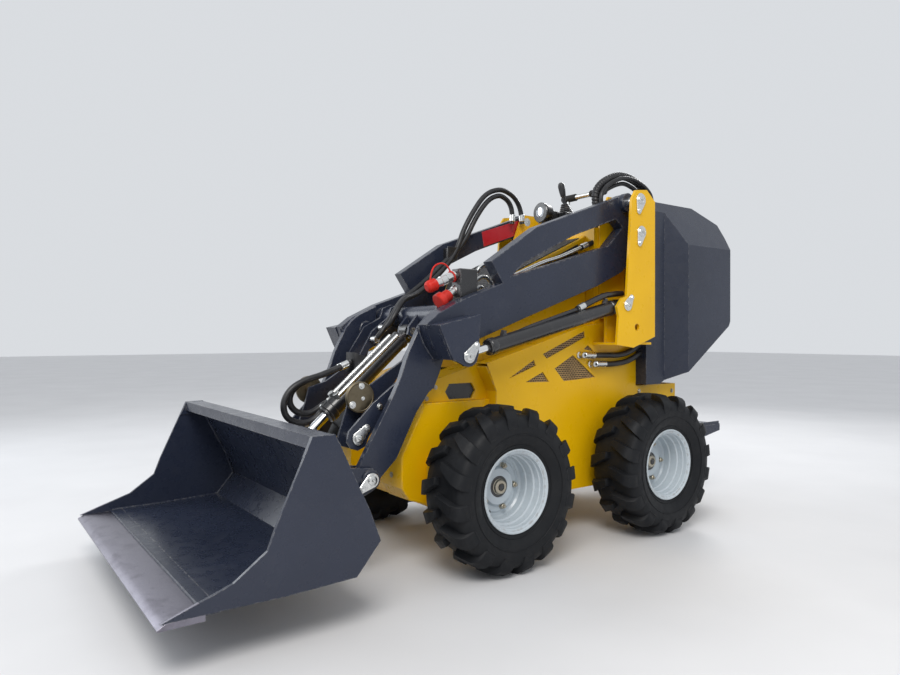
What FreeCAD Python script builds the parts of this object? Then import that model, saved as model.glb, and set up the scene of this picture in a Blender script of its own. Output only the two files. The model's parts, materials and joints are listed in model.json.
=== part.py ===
# Compact stand-on wheeled skid steer loader, in millimetres.
# X runs across the machine (left side +X), the bucket points to -Y and Z is up from the ground.
# Outlines are drawn in the side view as (y, z) pairs measured from the middle of the wheelbase
# at ground level. centre_shift then moves the whole machine so that its length is centred on 0.
import FreeCAD, Part
import math
import os
import re
import Sketcher
from FreeCAD import Rotation, Vector

doc = FreeCAD.newDocument("stand_on_loader")
sheet = doc.addObject("Spreadsheet::Sheet", "Sizes")

SIZES = [
    # overall reach from the middle of the wheelbase
    ("front_reach", 1616), ("rear_reach", 1206), ("wheelbase", 846),
    # wheels
    ("tyre_radius", 292), ("tyre_width", 226), ("tread_width", 200), ("tyre_track", 892),
    ("lug_depth", 22), ("shoulder_drop", 16), ("bead_half_width", 84), ("flange_half_width", 89),
    ("barrel_radius", 146), ("flange_radius", 157), ("rim_wall", 5), ("dish_offset", 14),
    ("hub_radius", 62), ("hub_depth", 40), ("cap_radius", 34), ("cap_length", 46),
    ("motor_radius", 56), ("motor_gap", 6), ("soft_gap", 0.3),
    # chassis
    ("side_outer", 300), ("nose_outer", 270), ("channel_half_width", 60), ("panel_wall", 5), ("belly_height", 190),
    ("floor_wall", 10), ("body_rear", 786), ("hood_outer", 225), ("hood_rear", 250),
    ("tower_top", 1300), ("body_split", 605),
    # lift posts
    ("post_outer", 432), ("post_wall", 12), ("post_inner_face", 284), ("post_inner_wall", 10),
    ("post_rear", 461), ("web_wall", 10), ("post_foot", 792),
    # pivots
    ("pivot_y", 363), ("pivot_z", 1406), ("arm_pin_radius", 20), ("pin_play", 0.05),
    ("spare_pin_z", 1270), ("base_pin_y", 279), ("base_pin_z", 958), ("rod_pin_y", -556),
    ("rod_pin_z", 758), ("cylinder_pin_radius", 15), ("bucket_pin_y", -875), ("bucket_pin_z", 350),
    ("bucket_pin_radius", 16), ("tilt_base_y", -530), ("tilt_base_z", 849), ("tilt_rod_y", -965),
    ("tilt_rod_z", 470), ("tilt_pin_radius", 14), ("tie_down_y", 342), ("tie_down_z", 866),
    ("tie_down_radius", 15),
    # arms
    ("arm_inner", 292), ("arm_outer", 345), ("boss_radius", 34), ("side_play", 5),
    ("ear_wall", 12), ("cross_tube_radius", 45), ("cross_tube_y", -466), ("cross_tube_z", 905),
    # hydraulic cylinders
    ("lift_cylinder_x", 385), ("lift_barrel_radius", 29), ("lift_rod_radius", 15),
    ("lift_barrel_start", 42), ("lift_barrel_length", 685), ("lift_eye_radius", 26),
    ("lift_eye_width", 44), ("tilt_barrel_radius", 35), ("tilt_rod_radius", 18),
    ("tilt_barrel_start", 45), ("tilt_barrel_length", 420), ("tilt_eye_radius", 28),
    ("tilt_eye_width", 46), ("rod_play", 0.05), ("bore_margin", 12), ("lift_rod_inset", 42),
    ("tilt_rod_inset", 64),
    # bucket and quick attach
    ("bucket_half_width", 613.5), ("bucket_side_wall", 10), ("bucket_sheet", 6),
    ("edge_thickness", 16), ("edge_depth", 150), ("edge_z", 136),
    ("attach_half_width", 380), ("attach_wall", 10), ("lug_wall", 12),
    # rear station
    ("tank_outer", 430), ("tank_inner", 190), ("tank_rear", 1050),
    ("step_half_width", 270), ("step_height", 350),
]
for row, (alias, size) in enumerate(SIZES, start=1):
    sheet.set("A%d" % row, alias)
    sheet.set("B%d" % row, str(size))
    sheet.setAlias("B%d" % row, alias)
last = len(SIZES) + 1
sheet.set("A%d" % last, "centre_shift")
sheet.set("B%d" % last, "=(front_reach - rear_reach) / 2")
sheet.setAlias("B%d" % last, "centre_shift")
doc.recompute()

ALIASES = [alias for alias, size in SIZES] + ["centre_shift"]
ALIAS_WORD = re.compile(r"\b(" + "|".join(ALIASES) + r")\b")
NODES = {}


def size(alias):
    """The number that the sheet holds for a named size."""
    return float(sheet.get(alias))


def bind(text):
    """An expression in which every named size points at its cell."""
    return ALIAS_WORD.sub(r"Sizes.\1", str(text))


def value_of(text):
    """The present value of an expression made of named sizes."""
    result = sheet.evalExpression(bind(text).replace("Sizes.", ""))
    return float(getattr(result, "Value", result))


def node(label, shape_object):
    """Names a finished sub-part; its label is its file name."""
    shape_object.Label = label
    NODES[label] = shape_object
    return shape_object


def side_outline(body, outline, holes=(), windows=()):
    """A closed sketch in the side view. outline and windows hold (y, z) expressions of corners,
    holes hold (y, z, radius)."""
    sketch = body.newObject("Sketcher::SketchObject", body.Name + "_outline")
    plane = next(item for item in body.Origin.OriginFeatures if item.Role == "YZ_Plane")
    sketch.AttachmentSupport = [(plane, "")]
    sketch.MapMode = "FlatFace"

    def fix(kind, geometry, point, text):
        index = sketch.addConstraint(
            Sketcher.Constraint(kind, -1, 1, geometry, point, value_of(text)))
        sketch.setExpression("Constraints[%d]" % index, bind(text))

    for loop in [outline] + list(windows):
        first = sketch.GeometryCount
        corners = [Vector(value_of("%s + centre_shift" % y), value_of(z), 0) for y, z in loop]
        count = len(corners)
        for i in range(count):
            sketch.addGeometry(Part.LineSegment(corners[i], corners[(i + 1) % count]), False)
        for i in range(count):
            sketch.addConstraint(
                Sketcher.Constraint("Coincident", first + i, 2, first + (i + 1) % count, 1))
        for i, (y, z) in enumerate(loop):
            fix("DistanceX", first + i, 1, "%s + centre_shift" % y)
            fix("DistanceY", first + i, 1, z)
    for y, z, radius in holes:
        centre = Vector(value_of("%s + centre_shift" % y), value_of(z), 0)
        circle = sketch.addGeometry(Part.Circle(centre, Vector(0, 0, 1), value_of(radius)), False)
        fix("DistanceX", circle, 3, "%s + centre_shift" % y)
        fix("DistanceY", circle, 3, z)
        index = sketch.addConstraint(Sketcher.Constraint("Radius", circle, value_of(radius)))
        sketch.setExpression("Constraints[%d]" % index, bind(radius))
    return sketch


def plate(name, outline, x_from, x_to, holes=(), windows=()):
    """A flat plate or prism with a side-view outline, from x_from to x_to."""
    body = doc.addObject("PartDesign::Body", name)
    sketch = side_outline(body, outline, holes, windows)
    pad = body.newObject("PartDesign::Pad", name + "_pad")
    pad.Profile = sketch
    pad.setExpression("Length", bind("(%s) - (%s)" % (x_to, x_from)))
    body.setExpression("Placement.Base.x", bind(x_from))
    return body


def cross_cylinder(name, y, z, radius, x_from, x_to):
    """A round bar along X."""
    bar = doc.addObject("Part::Cylinder", name)
    bar.Placement = FreeCAD.Placement(Vector(), Rotation(Vector(0, 1, 0), 90))
    bar.setExpression("Radius", bind(radius))
    bar.setExpression("Height", bind("(%s) - (%s)" % (x_to, x_from)))
    bar.setExpression("Placement.Base.x", bind(x_from))
    bar.setExpression("Placement.Base.y", bind("%s + centre_shift" % y))
    bar.setExpression("Placement.Base.z", bind(z))
    return bar


def box(name, x_from, x_to, y_from, y_to, z_from, z_to):
    """A box between named faces."""
    block = doc.addObject("Part::Box", name)
    block.setExpression("Length", bind("(%s) - (%s)" % (x_to, x_from)))
    block.setExpression("Width", bind("(%s) - (%s)" % (y_to, y_from)))
    block.setExpression("Height", bind("(%s) - (%s)" % (z_to, z_from)))
    block.setExpression("Placement.Base.x", bind(x_from))
    block.setExpression("Placement.Base.y", bind("%s + centre_shift" % y_from))
    block.setExpression("Placement.Base.z", bind(z_from))
    return block


def fuse(name, shapes):
    joined = doc.addObject("Part::MultiFuse", name)
    joined.Shapes = shapes
    return joined


def cut(name, base, tool):
    result = doc.addObject("Part::Cut", name)
    result.Base = base
    result.Tool = tool
    return result


def compound(name, shapes):
    """Like pieces that don't touch and share one node."""
    group = doc.addObject("Part::Compound", name)
    group.Links = shapes
    return group


def along(name, start, end, radius, first, length, x_mid):
    """A round bar in the side plane at x_mid that starts `first` mm from start towards end."""
    (y0, z0), (y1, z1) = start, end
    span = "sqrt((%s - (%s))^2 + (%s - (%s))^2)" % (y1, y0, z1, z0)
    bar = doc.addObject("Part::Cylinder", name)
    tilt = math.degrees(math.atan2(value_of("%s - (%s)" % (y0, y1)), value_of("%s - (%s)" % (z1, z0))))
    bar.Placement = FreeCAD.Placement(Vector(), Rotation(Vector(1, 0, 0), tilt))
    bar.setExpression("Radius", bind(radius))
    bar.setExpression("Height", bind(length))
    bar.setExpression("Placement.Rotation.Angle", bind("atan2(%s - (%s); %s - (%s))" % (y0, y1, z1, z0)))
    bar.setExpression("Placement.Base.x", bind(x_mid))
    step_y = "(%s) * (%s - (%s)) / %s" % (first, y1, y0, span)
    step_z = "(%s) * (%s - (%s)) / %s" % (first, z1, z0, span)
    bar.setExpression("Placement.Base.y", bind("%s + %s + centre_shift" % (y0, step_y)))
    bar.setExpression("Placement.Base.z", bind("%s + %s" % (z0, step_z)))
    return bar


def revolved(name, profile, y, z, x_mid, mirrored):
    """A body of revolution about X; profile holds (x, radius) expressions, outer side +x."""
    body = doc.addObject("PartDesign::Body", name)
    sketch = body.newObject("Sketcher::SketchObject", name + "_profile")
    plane = next(item for item in body.Origin.OriginFeatures if item.Role == "XY_Plane")
    sketch.AttachmentSupport = [(plane, "")]
    sketch.MapMode = "FlatFace"
    corners = [Vector(value_of(x), value_of(radius), 0) for x, radius in profile]
    count = len(corners)
    for i in range(count):
        sketch.addGeometry(Part.LineSegment(corners[i], corners[(i + 1) % count]), False)
    for i in range(count):
        sketch.addConstraint(Sketcher.Constraint("Coincident", i, 2, (i + 1) % count, 1))
    for i, (x, radius) in enumerate(profile):
        for kind, text in (("DistanceX", x), ("DistanceY", radius)):
            index = sketch.addConstraint(Sketcher.Constraint(kind, -1, 1, i, 1, value_of(text)))
            sketch.setExpression("Constraints[%d]" % index, bind(text))
    turn = body.newObject("PartDesign::Revolution", name + "_turn")
    turn.Profile = sketch
    turn.ReferenceAxis = (sketch, ["H_Axis"])
    turn.Angle = 360
    if mirrored:
        body.Placement = FreeCAD.Placement(Vector(), Rotation(Vector(0, 0, 1), 180))
    body.setExpression("Placement.Base.x", bind(x_mid))
    body.setExpression("Placement.Base.y", bind("%s + centre_shift" % y))
    body.setExpression("Placement.Base.z", bind(z))
    return body


SIDES = [("left", 1), ("right", -1)]
AXLES = [("front", "-wheelbase / 2"), ("rear", "wheelbase / 2")]


def sided(sign, low, high):
    """The two faces of a piece on either side of the machine, lower x first."""
    return (low, high) if sign > 0 else ("-(%s)" % high, "-(%s)" % low)


# Wheels: a tyre on a deep-dished rim whose hub turns about the drive motor's shaft.
TYRE = [("-bead_half_width + soft_gap", "barrel_radius + soft_gap"),
        ("bead_half_width - soft_gap", "barrel_radius + soft_gap"),
        ("bead_half_width - soft_gap", "flange_radius + 4"),
        ("tyre_width / 2", "barrel_radius + 62"),
        ("tyre_width / 2", "tyre_radius - 62"),
        ("tread_width / 2", "tyre_radius - shoulder_drop"),
        ("tread_width / 2 - 30", "tyre_radius"),
        ("-tread_width / 2 + 30", "tyre_radius"),
        ("-tread_width / 2", "tyre_radius - shoulder_drop"),
        ("-tyre_width / 2", "tyre_radius - 62"),
        ("-tyre_width / 2", "barrel_radius + 62"),
        ("-bead_half_width + soft_gap", "flange_radius + 4")]
RIM = [("-flange_half_width", "flange_radius"), ("-bead_half_width", "flange_radius"),
       ("-bead_half_width", "barrel_radius"), ("bead_half_width", "barrel_radius"),
       ("bead_half_width", "flange_radius"), ("flange_half_width", "flange_radius"),
       ("flange_half_width", "barrel_radius - rim_wall"),
       ("dish_offset + rim_wall", "barrel_radius - rim_wall"),
       ("dish_offset + rim_wall", "cap_radius"), ("dish_offset + cap_length", "cap_radius"),
       ("dish_offset + cap_length", "cap_radius / 2"), ("dish_offset - hub_depth", "cap_radius / 2"),
       ("dish_offset - hub_depth", "hub_radius"), ("dish_offset", "hub_radius"),
       ("dish_offset", "barrel_radius - rim_wall"), ("-flange_half_width", "barrel_radius - rim_wall")]
motors = []
for axle, axle_y in AXLES:
    for side, sign in SIDES:
        wheel = "%s_%s" % (axle, side)
        mid = "tyre_track / 2" if sign > 0 else "-tyre_track / 2"
        node("tyre_" + wheel, revolved("Tyre_" + wheel, TYRE, axle_y, "tyre_radius", mid, sign < 0))
        node("rim_" + wheel, revolved("Rim_" + wheel, RIM, axle_y, "tyre_radius", mid, sign < 0))
        ends = sided(sign, "side_outer", "tyre_track / 2 + dish_offset - hub_depth - soft_gap")
        motors.append(cross_cylinder("Motor_" + wheel, axle_y, "tyre_radius", "motor_radius", *ends))
node("wheel_motors", compound("Wheel_motors", motors))

# Chassis: two side panels, a belly pan, the nose and the hood over the engine.
SIDE_PANEL = [("-640", "225"), ("-560", "belly_height"), ("body_rear", "belly_height"),
              ("body_rear", "body_split"), ("440", "body_split"), ("440", "900"), ("-360", "728"),
              ("-360", "560"), ("-440", "420"), ("-640", "400")]
SHOULDER = [("-360", "723"), ("hood_rear", "854"), ("hood_rear", "859"), ("-360", "728")]
for side, sign in SIDES:
    panel = plate("Panel_" + side, SIDE_PANEL, *sided(sign, "side_outer - panel_wall", "side_outer"))
    shoulder = plate("Shoulder_" + side, SHOULDER,
                     *sided(sign, "hood_outer", "side_outer - panel_wall"))
    fold = box("Fold_" + side, *sided(sign, "nose_outer", "side_outer - panel_wall"),
               "-360", "-355", "560", "723")
    node("side_panel_" + side, fuse("Side_panel_" + side, [panel, shoulder, fold]))
node("belly_pan", box("Belly_pan", "-side_outer + panel_wall", "side_outer - panel_wall",
                      "-560", "body_rear", "belly_height", "belly_height + floor_wall"))
NOSE = [("-690", "245"), ("-560", "belly_height + floor_wall"), ("-360", "belly_height + floor_wall"),
        ("-360", "700"), ("-560", "660"), ("-637", "555"), ("-721", "402"), ("-721", "290")]
NOSE_CHANNEL = [("-640", "234"), ("-560", "belly_height + floor_wall"),
                ("-360", "belly_height + floor_wall"), ("-360", "690"), ("-500", "640"),
                ("-560", "540"), ("-640", "400")]
cheeks = [plate("Nose_" + side, NOSE, *sided(sign, "channel_half_width", "nose_outer"))
          for side, sign in SIDES]
channel = plate("Nose_channel", NOSE_CHANNEL, "-channel_half_width", "channel_half_width")
node("front_cover", fuse("Front_cover", [channel] + cheeks))
HOOD = [("-360", "700"), ("-330", "930"), ("-300", "1000"), ("220", "1255"), ("hood_rear", "1270"),
        ("hood_rear", "700")]
node("hood", plate("Hood", HOOD, "-hood_outer", "hood_outer"))
node("tower", box("Tower", "-post_inner_face + post_inner_wall", "post_inner_face - post_inner_wall",
                  "hood_rear", "440", "700", "tower_top"))
node("engine_block", box("Engine_block", "-220", "220", "-200", "400", "belly_height + floor_wall", "680"))
node("rear_wall", box("Rear_wall", "-side_outer + panel_wall", "side_outer - panel_wall",
                      "body_rear - floor_wall", "body_rear", "belly_height + floor_wall", "605"))

# Lift posts: an outer and an inner plate joined by a rear web, with the arm and cylinder pins.
POST = [("post_rear", "826"), ("post_rear", "1409"), ("406", "1454"), ("334", "1445"),
        ("308", "1405"), ("276", "995"), ("245", "986"), ("214", "950"), ("226", "911"),
        ("214", "post_foot"), ("319", "780")]
POST_INNER = [("440", "905"), ("440", "1440"), ("330", "1440"), ("276", "1312"), ("276", "905")]
ARM_PIN_HOLE = ("pivot_y", "pivot_z", "arm_pin_radius + pin_play")
BASE_PIN_HOLE = ("base_pin_y", "base_pin_z", "cylinder_pin_radius + pin_play")
post_pins = []
for side, sign in SIDES:
    outer = plate("Post_outer_" + side, POST, *sided(sign, "post_outer - post_wall", "post_outer"),
                  holes=[("tie_down_y", "tie_down_z", "tie_down_radius"), ARM_PIN_HOLE, BASE_PIN_HOLE])
    inner = plate("Post_inner_" + side, POST_INNER,
                  *sided(sign, "post_inner_face - post_inner_wall", "post_inner_face"),
                  holes=[ARM_PIN_HOLE])
    web = box("Post_web_" + side,
              *sided(sign, "post_inner_face - post_inner_wall", "post_outer - post_wall"),
              "post_rear - web_wall", "post_rear", "826", "1409")
    foot = box("Post_foot_" + side, *sided(sign, "side_outer", "post_outer - post_wall"),
               "214", "post_rear - web_wall", "post_foot", "post_foot + web_wall")
    inner_lug = plate("Cylinder_lug_" + side,
                      [("240", "post_foot + web_wall"), ("320", "post_foot + web_wall"),
                       ("320", "base_pin_z + 30"), ("240", "base_pin_z + 30")],
                      *sided(sign, "arm_outer - 6", "arm_outer + 6"), holes=[BASE_PIN_HOLE])
    node("post_" + side, fuse("Post_" + side, [outer, inner, web, foot, inner_lug]))
    post_pins.append(cross_cylinder("Arm_pin_" + side, "pivot_y", "pivot_z", "arm_pin_radius",
                                    *sided(sign, "post_inner_face - post_inner_wall", "post_outer + 8")))
node("arm_pivot_pins", compound("Arm_pivot_pins", post_pins))

# Rear station: a tank on each side of the operator's standing place, pad, console and step.
TANK = [("post_rear", "605"), ("640", "605"), ("715", "660"), ("tank_rear - 22", "870"),
        ("tank_rear - 14", "1250"), ("1000", "1370"), ("860", "1425"), ("post_rear", "1425")]
for side, sign in SIDES:
    node("tank_" + side, plate("Tank_" + side, TANK, *sided(sign, "tank_inner", "tank_outer")))
node("thigh_pad", box("Thigh_pad", "-tank_inner + 6", "tank_inner - 6", "638", "700", "700", "1100"))
node("console", box("Console", "-tank_inner + 6", "tank_inner - 6", "440", "638", "body_split", "1340"))
STEP = [("body_rear", "step_height - 60"), ("1060", "step_height - 60"),
        ("rear_reach", "step_height - 35"), ("rear_reach", "step_height"), ("body_rear", "step_height")]
node("step", plate("Step", STEP, "-step_half_width", "step_half_width"))
node("lamp", fuse("Lamp", [
    along("Lamp_body", ("180", "1375"), ("240", "1375"), "42", "0", "60", "0"),
    box("Lamp_foot", "-20", "20", "225", "hood_rear", "1330", "1375"),
    box("Lamp_bracket", "-20", "20", "hood_rear", "290", "tower_top", "1350")]))
node("joystick", fuse("Joystick", [
    box("Joystick_base", "-10", "70", "300", "380", "tower_top", "1420"),
    along("Joystick_stick", ("330", "1410"), ("310", "1595"), "13", "0", "180", "30")]))
node("handle_bar", fuse("Handle_bar", [
    cross_cylinder("Handle_grip", "480", "1510", "14", "-130", "130"),
    along("Handle_leg_left", ("480", "1340"), ("480", "1510"), "11", "0", "170", "100"),
    along("Handle_leg_right", ("480", "1340"), ("480", "1510"), "11", "0", "170", "-100")]))

# Lift arms: a windowed box beam on each side with a leg down to the bucket pin.
ARM = [("pivot_y + 5", "pivot_z + 40"), ("208", "1389"), ("-105", "1282"), ("-393", "1105"),
       ("-328", "1028"), ("-617", "910"), ("-668", "869"), ("-694", "812"), ("-714", "774"),
       ("-799", "648"), ("-904", "383"), ("bucket_pin_y - 24", "bucket_pin_z - 32"),
       ("bucket_pin_y + 24", "bucket_pin_z - 32"), ("-802", "383"), ("-774", "404"),
       ("-630", "647"), ("-552", "779"), ("-222", "896"), ("193", "1039"), ("349", "1106"),
       ("pivot_y + 45", "1160"), ("pivot_y + 45", "pivot_z + 10")]
ARM_WINDOW = [("-288", "1054"), ("-28", "1126"), ("240", "1206"), ("310", "1270"), ("310", "1316"),
              ("147", "1278"), ("-28", "1230"), ("-138", "1177")]
KNEE = [("-594", "935"), ("-664", "893"), ("-680", "793"), ("-706", "730"), ("-787", "658"),
        ("-930", "527"), ("-945", "485"), ("-926", "455"), ("-873", "458"), ("-730", "620"),
        ("-560", "770"), ("-520", "900")]
LIFT_EAR = [("-679", "866"), ("-508", "906"), ("-517", "850"), ("-521", "735"), ("-540", "718"),
            ("-572", "718"), ("-616", "740"), ("-650", "798")]
ears, knees = [], []
for side, sign in SIDES:
    node("arm_" + side, plate(
        "Arm_" + side, ARM, *sided(sign, "arm_inner", "arm_outer"), windows=[ARM_WINDOW],
        holes=[("pivot_y", "pivot_z", "arm_pin_radius + pin_play"),
               ("bucket_pin_y", "bucket_pin_z", "bucket_pin_radius + pin_play")]))
    ear = plate("Ear_" + side, LIFT_EAR, *sided(sign, "post_outer - ear_wall", "post_outer"))
    front = plate("Ear_front_" + side,
                  [("-679", "866"), ("-650", "798"), ("-616", "740"), ("-606", "745"),
                   ("-640", "802"), ("-667", "860"), ("-508", "897"), ("-508", "906")],
                  *sided(sign, "arm_outer", "post_outer - ear_wall"))
    ears.append(fuse("Lift_ear_" + side, [ear, front]))
    knees.append(plate("Knee_" + side, KNEE, *sided(sign, "arm_inner - 15", "arm_inner")))
node("lift_ears", compound("Lift_ears", ears))
node("knee_plates", compound("Knee_plates", knees))
tube = cross_cylinder("Cross_tube_bar", "cross_tube_y", "cross_tube_z", "cross_tube_radius",
                      "-arm_inner", "arm_inner")
TILT_LUG = [("cross_tube_y - 26", "cross_tube_z + 30"), ("tilt_base_y - 20", "tilt_base_z + 19"),
            ("tilt_base_y - 26", "tilt_base_z - 14"), ("tilt_base_y", "tilt_base_z - 29"),
            ("tilt_base_y + 22", "tilt_base_z - 23"), ("cross_tube_y + 26", "cross_tube_z - 30")]
lugs = [plate("Tilt_lug_%s" % side, TILT_LUG,
              *sided(sign, "tilt_eye_width / 2 + side_play", "tilt_eye_width / 2 + side_play + lug_wall"),
              holes=[("tilt_base_y", "tilt_base_z", "tilt_pin_radius + pin_play")])
        for side, sign in SIDES]
node("cross_tube", fuse("Cross_tube", [tube] + lugs))

# Lift cylinders between the posts and the ears on the arms.
BASE_PIN = ("base_pin_y", "base_pin_z")
ROD_PIN = ("rod_pin_y", "rod_pin_z")
LIFT_SPAN = "sqrt((rod_pin_y - base_pin_y)^2 + (rod_pin_z - base_pin_z)^2)"
base_pins = []
for side, sign in SIDES:
    x_mid = "lift_cylinder_x" if sign > 0 else "-lift_cylinder_x"
    half = "lift_eye_width / 2"
    eye_faces = ("%s - %s" % (x_mid, half), "%s + %s" % (x_mid, half))
    tube = along("Lift_tube_" + side, BASE_PIN, ROD_PIN, "lift_barrel_radius", "lift_barrel_start",
                 "lift_barrel_length", x_mid)
    neck = along("Lift_neck_" + side, BASE_PIN, ROD_PIN, "lift_barrel_radius - 9", "0",
                 "lift_barrel_start + 5", x_mid)
    eye = cross_cylinder("Lift_base_eye_" + side, *BASE_PIN, "lift_eye_radius", *eye_faces)
    solid = fuse("Lift_barrel_solid_" + side, [tube, neck, eye])
    pin_hole = cross_cylinder("Lift_base_bore_" + side, *BASE_PIN, "cylinder_pin_radius + pin_play",
                              *eye_faces)
    rod_bore = along("Lift_rod_bore_" + side, BASE_PIN, ROD_PIN, "lift_rod_radius + rod_play",
                     "lift_barrel_start + bore_margin", "lift_barrel_length", x_mid)
    tools = fuse("Lift_barrel_cuts_" + side, [pin_hole, rod_bore])
    node("lift_barrel_" + side, cut("Lift_barrel_" + side, solid, tools))
    shaft = along("Lift_shaft_" + side, BASE_PIN, ROD_PIN, "lift_rod_radius",
                  "lift_barrel_start + lift_rod_inset",
                  "%s - lift_barrel_start - lift_rod_inset" % LIFT_SPAN, x_mid)
    rod_eye = cross_cylinder("Lift_rod_eye_" + side, *ROD_PIN, "lift_eye_radius", *eye_faces)
    rod_solid = fuse("Lift_rod_solid_" + side, [shaft, rod_eye])
    rod_hole = cross_cylinder("Lift_rod_hole_" + side, *ROD_PIN, "cylinder_pin_radius", *eye_faces)
    node("lift_rod_" + side, cut("Lift_rod_" + side, rod_solid, rod_hole))
    base_pins.append(cross_cylinder("Base_pin_" + side, *BASE_PIN, "cylinder_pin_radius",
                                    *sided(sign, "arm_outer - 6", "post_outer + 8")))
node("cylinder_base_pins", compound("Cylinder_base_pins", base_pins))

# Tilt cylinder from the cross tube to the quick attach.
TILT_BASE = ("tilt_base_y", "tilt_base_z")
TILT_ROD = ("tilt_rod_y", "tilt_rod_z")
TILT_SPAN = "sqrt((tilt_rod_y - tilt_base_y)^2 + (tilt_rod_z - tilt_base_z)^2)"
tilt_faces = ("-tilt_eye_width / 2", "tilt_eye_width / 2")
tilt_tube = along("Tilt_tube", TILT_BASE, TILT_ROD, "tilt_barrel_radius", "tilt_barrel_start",
                  "tilt_barrel_length", "0")
tilt_neck = along("Tilt_neck", TILT_BASE, TILT_ROD, "tilt_barrel_radius - 14", "0",
                  "tilt_barrel_start + 5", "0")
tilt_eye = cross_cylinder("Tilt_base_eye", *TILT_BASE, "tilt_eye_radius", *tilt_faces)
tilt_cuts = fuse("Tilt_barrel_cuts", [
    cross_cylinder("Tilt_base_bore", *TILT_BASE, "tilt_pin_radius + pin_play", *tilt_faces),
    along("Tilt_rod_bore", TILT_BASE, TILT_ROD, "tilt_rod_radius + rod_play",
          "tilt_barrel_start + bore_margin", "tilt_barrel_length", "0")])
node("tilt_barrel", cut("Tilt_barrel", fuse("Tilt_barrel_solid", [tilt_tube, tilt_neck, tilt_eye]),
                        tilt_cuts))
tilt_shaft = along("Tilt_shaft", TILT_BASE, TILT_ROD, "tilt_rod_radius", "tilt_barrel_start + tilt_rod_inset",
                   "%s - tilt_barrel_start - tilt_rod_inset" % TILT_SPAN, "0")
tilt_rod_eye = cross_cylinder("Tilt_rod_eye", *TILT_ROD, "tilt_eye_radius", *tilt_faces)
tilt_rod_hole = cross_cylinder("Tilt_rod_hole", *TILT_ROD, "tilt_pin_radius", *tilt_faces)
node("tilt_rod", cut("Tilt_rod", fuse("Tilt_rod_solid", [tilt_shaft, tilt_rod_eye]), tilt_rod_hole))
TILT_PIN_END = "tilt_eye_width / 2 + side_play + lug_wall"
node("tilt_base_pin", cross_cylinder("Tilt_base_pin", *TILT_BASE, "tilt_pin_radius",
                                     "-(%s)" % TILT_PIN_END, TILT_PIN_END))

# Bucket: floor and back sheet between two side plates, cutting edge and quick attach.
BUCKET_SIDE = [("-front_reach + 6", "edge_z + edge_thickness"), ("-1436", "212"), ("-1347", "277"),
               ("-1323", "340"), ("-1223", "560"), ("-1156", "561"), ("-1048", "338"),
               ("-1013", "246"), ("-1090", "157"), ("-1303", "150"),
               ("-front_reach + edge_depth", "edge_z + edge_thickness")]
SHEET = [("-front_reach + edge_depth", "152"), ("-1303", "152"), ("-1092", "160"),
         ("-1018", "247"), ("-1054", "340"), ("-1170", "556"), ("-1210", "556"), ("-1210", "545"),
         ("-1172", "545"), ("-1060", "336"), ("-1026", "248"), ("-1098", "166"), ("-1303", "158"),
         ("-front_reach + edge_depth", "158")]
shell = plate("Bucket_sheet", SHEET, "-bucket_half_width + bucket_side_wall",
              "bucket_half_width - bucket_side_wall")
cheeks = [plate("Bucket_cheek_" + side, BUCKET_SIDE,
                *sided(sign, "bucket_half_width - bucket_side_wall", "bucket_half_width"))
          for side, sign in SIDES]
node("bucket_shell", fuse("Bucket_shell", [shell] + cheeks))
node("cutting_edge", box("Cutting_edge", "-bucket_half_width", "bucket_half_width", "-front_reach",
                         "-front_reach + edge_depth", "edge_z", "edge_z + edge_thickness"))
ATTACH = [("-1018", "247"), ("-1008", "247"), ("-1044", "345"), ("-1132", "508"),
          ("-1054 - 168 * 116 / 216", "508"), ("-1054", "340")]
LUG = [("-1012", "262"), ("-940", "292"), ("bucket_pin_y + 10", "bucket_pin_z - 38"),
       ("bucket_pin_y + 38", "bucket_pin_z"), ("bucket_pin_y + 10", "bucket_pin_z + 38"),
       ("-1010", "405"), ("-1046", "348")]
parts = [plate("Attach_plate", ATTACH, "-attach_half_width", "attach_half_width")]
bucket_pins = []
for side, sign in SIDES:
    parts.append(plate("Lug_outer_" + side, LUG,
                       *sided(sign, "arm_outer + side_play", "arm_outer + side_play + lug_wall"),
                       holes=[("bucket_pin_y", "bucket_pin_z", "bucket_pin_radius + pin_play")]))
    bucket_pins.append(cross_cylinder("Bucket_pin_" + side, "bucket_pin_y", "bucket_pin_z",
                                      "bucket_pin_radius",
                                      *sided(sign, "arm_inner", "arm_outer + side_play + lug_wall + 8")))
    parts.append(plate("Tilt_ear_" + side,
                       [("-1060", "360"), ("-1000", "430"), ("tilt_rod_y + 25", "tilt_rod_z - 20"),
                        ("tilt_rod_y + 25", "tilt_rod_z + 25"), ("-1112", "500")],
                       *sided(sign, "tilt_eye_width / 2 + side_play",
                              "tilt_eye_width / 2 + side_play + lug_wall")))
node("quick_attach", fuse("Quick_attach", parts))
node("bucket_pins", compound("Bucket_pins", bucket_pins))

doc.recompute()
os.makedirs("parts", exist_ok=True)
for label, item in NODES.items():
    if set(item.State) & {"Invalid", "Error"}:
        raise SystemExit("failed object: " + label)
    if item.Shape.isNull() or not item.Shape.isValid():
        raise SystemExit("bad shape: " + label)
for label, item in NODES.items():
    item.Shape.exportStep(os.path.join("parts", label + ".step"))
print(len(NODES), "nodes")
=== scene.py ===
"""Studio scene of the compact stand-on skid steer loader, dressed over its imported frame.

Everything is in metres in the frame's own axes: the machine's left side is +X, its bucket
points to -Y and Z is up from the floor.
"""
import json
import math
from functools import partial

import bmesh
import bpy
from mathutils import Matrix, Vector
from mathutils.geometry import tessellate_polygon


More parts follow.
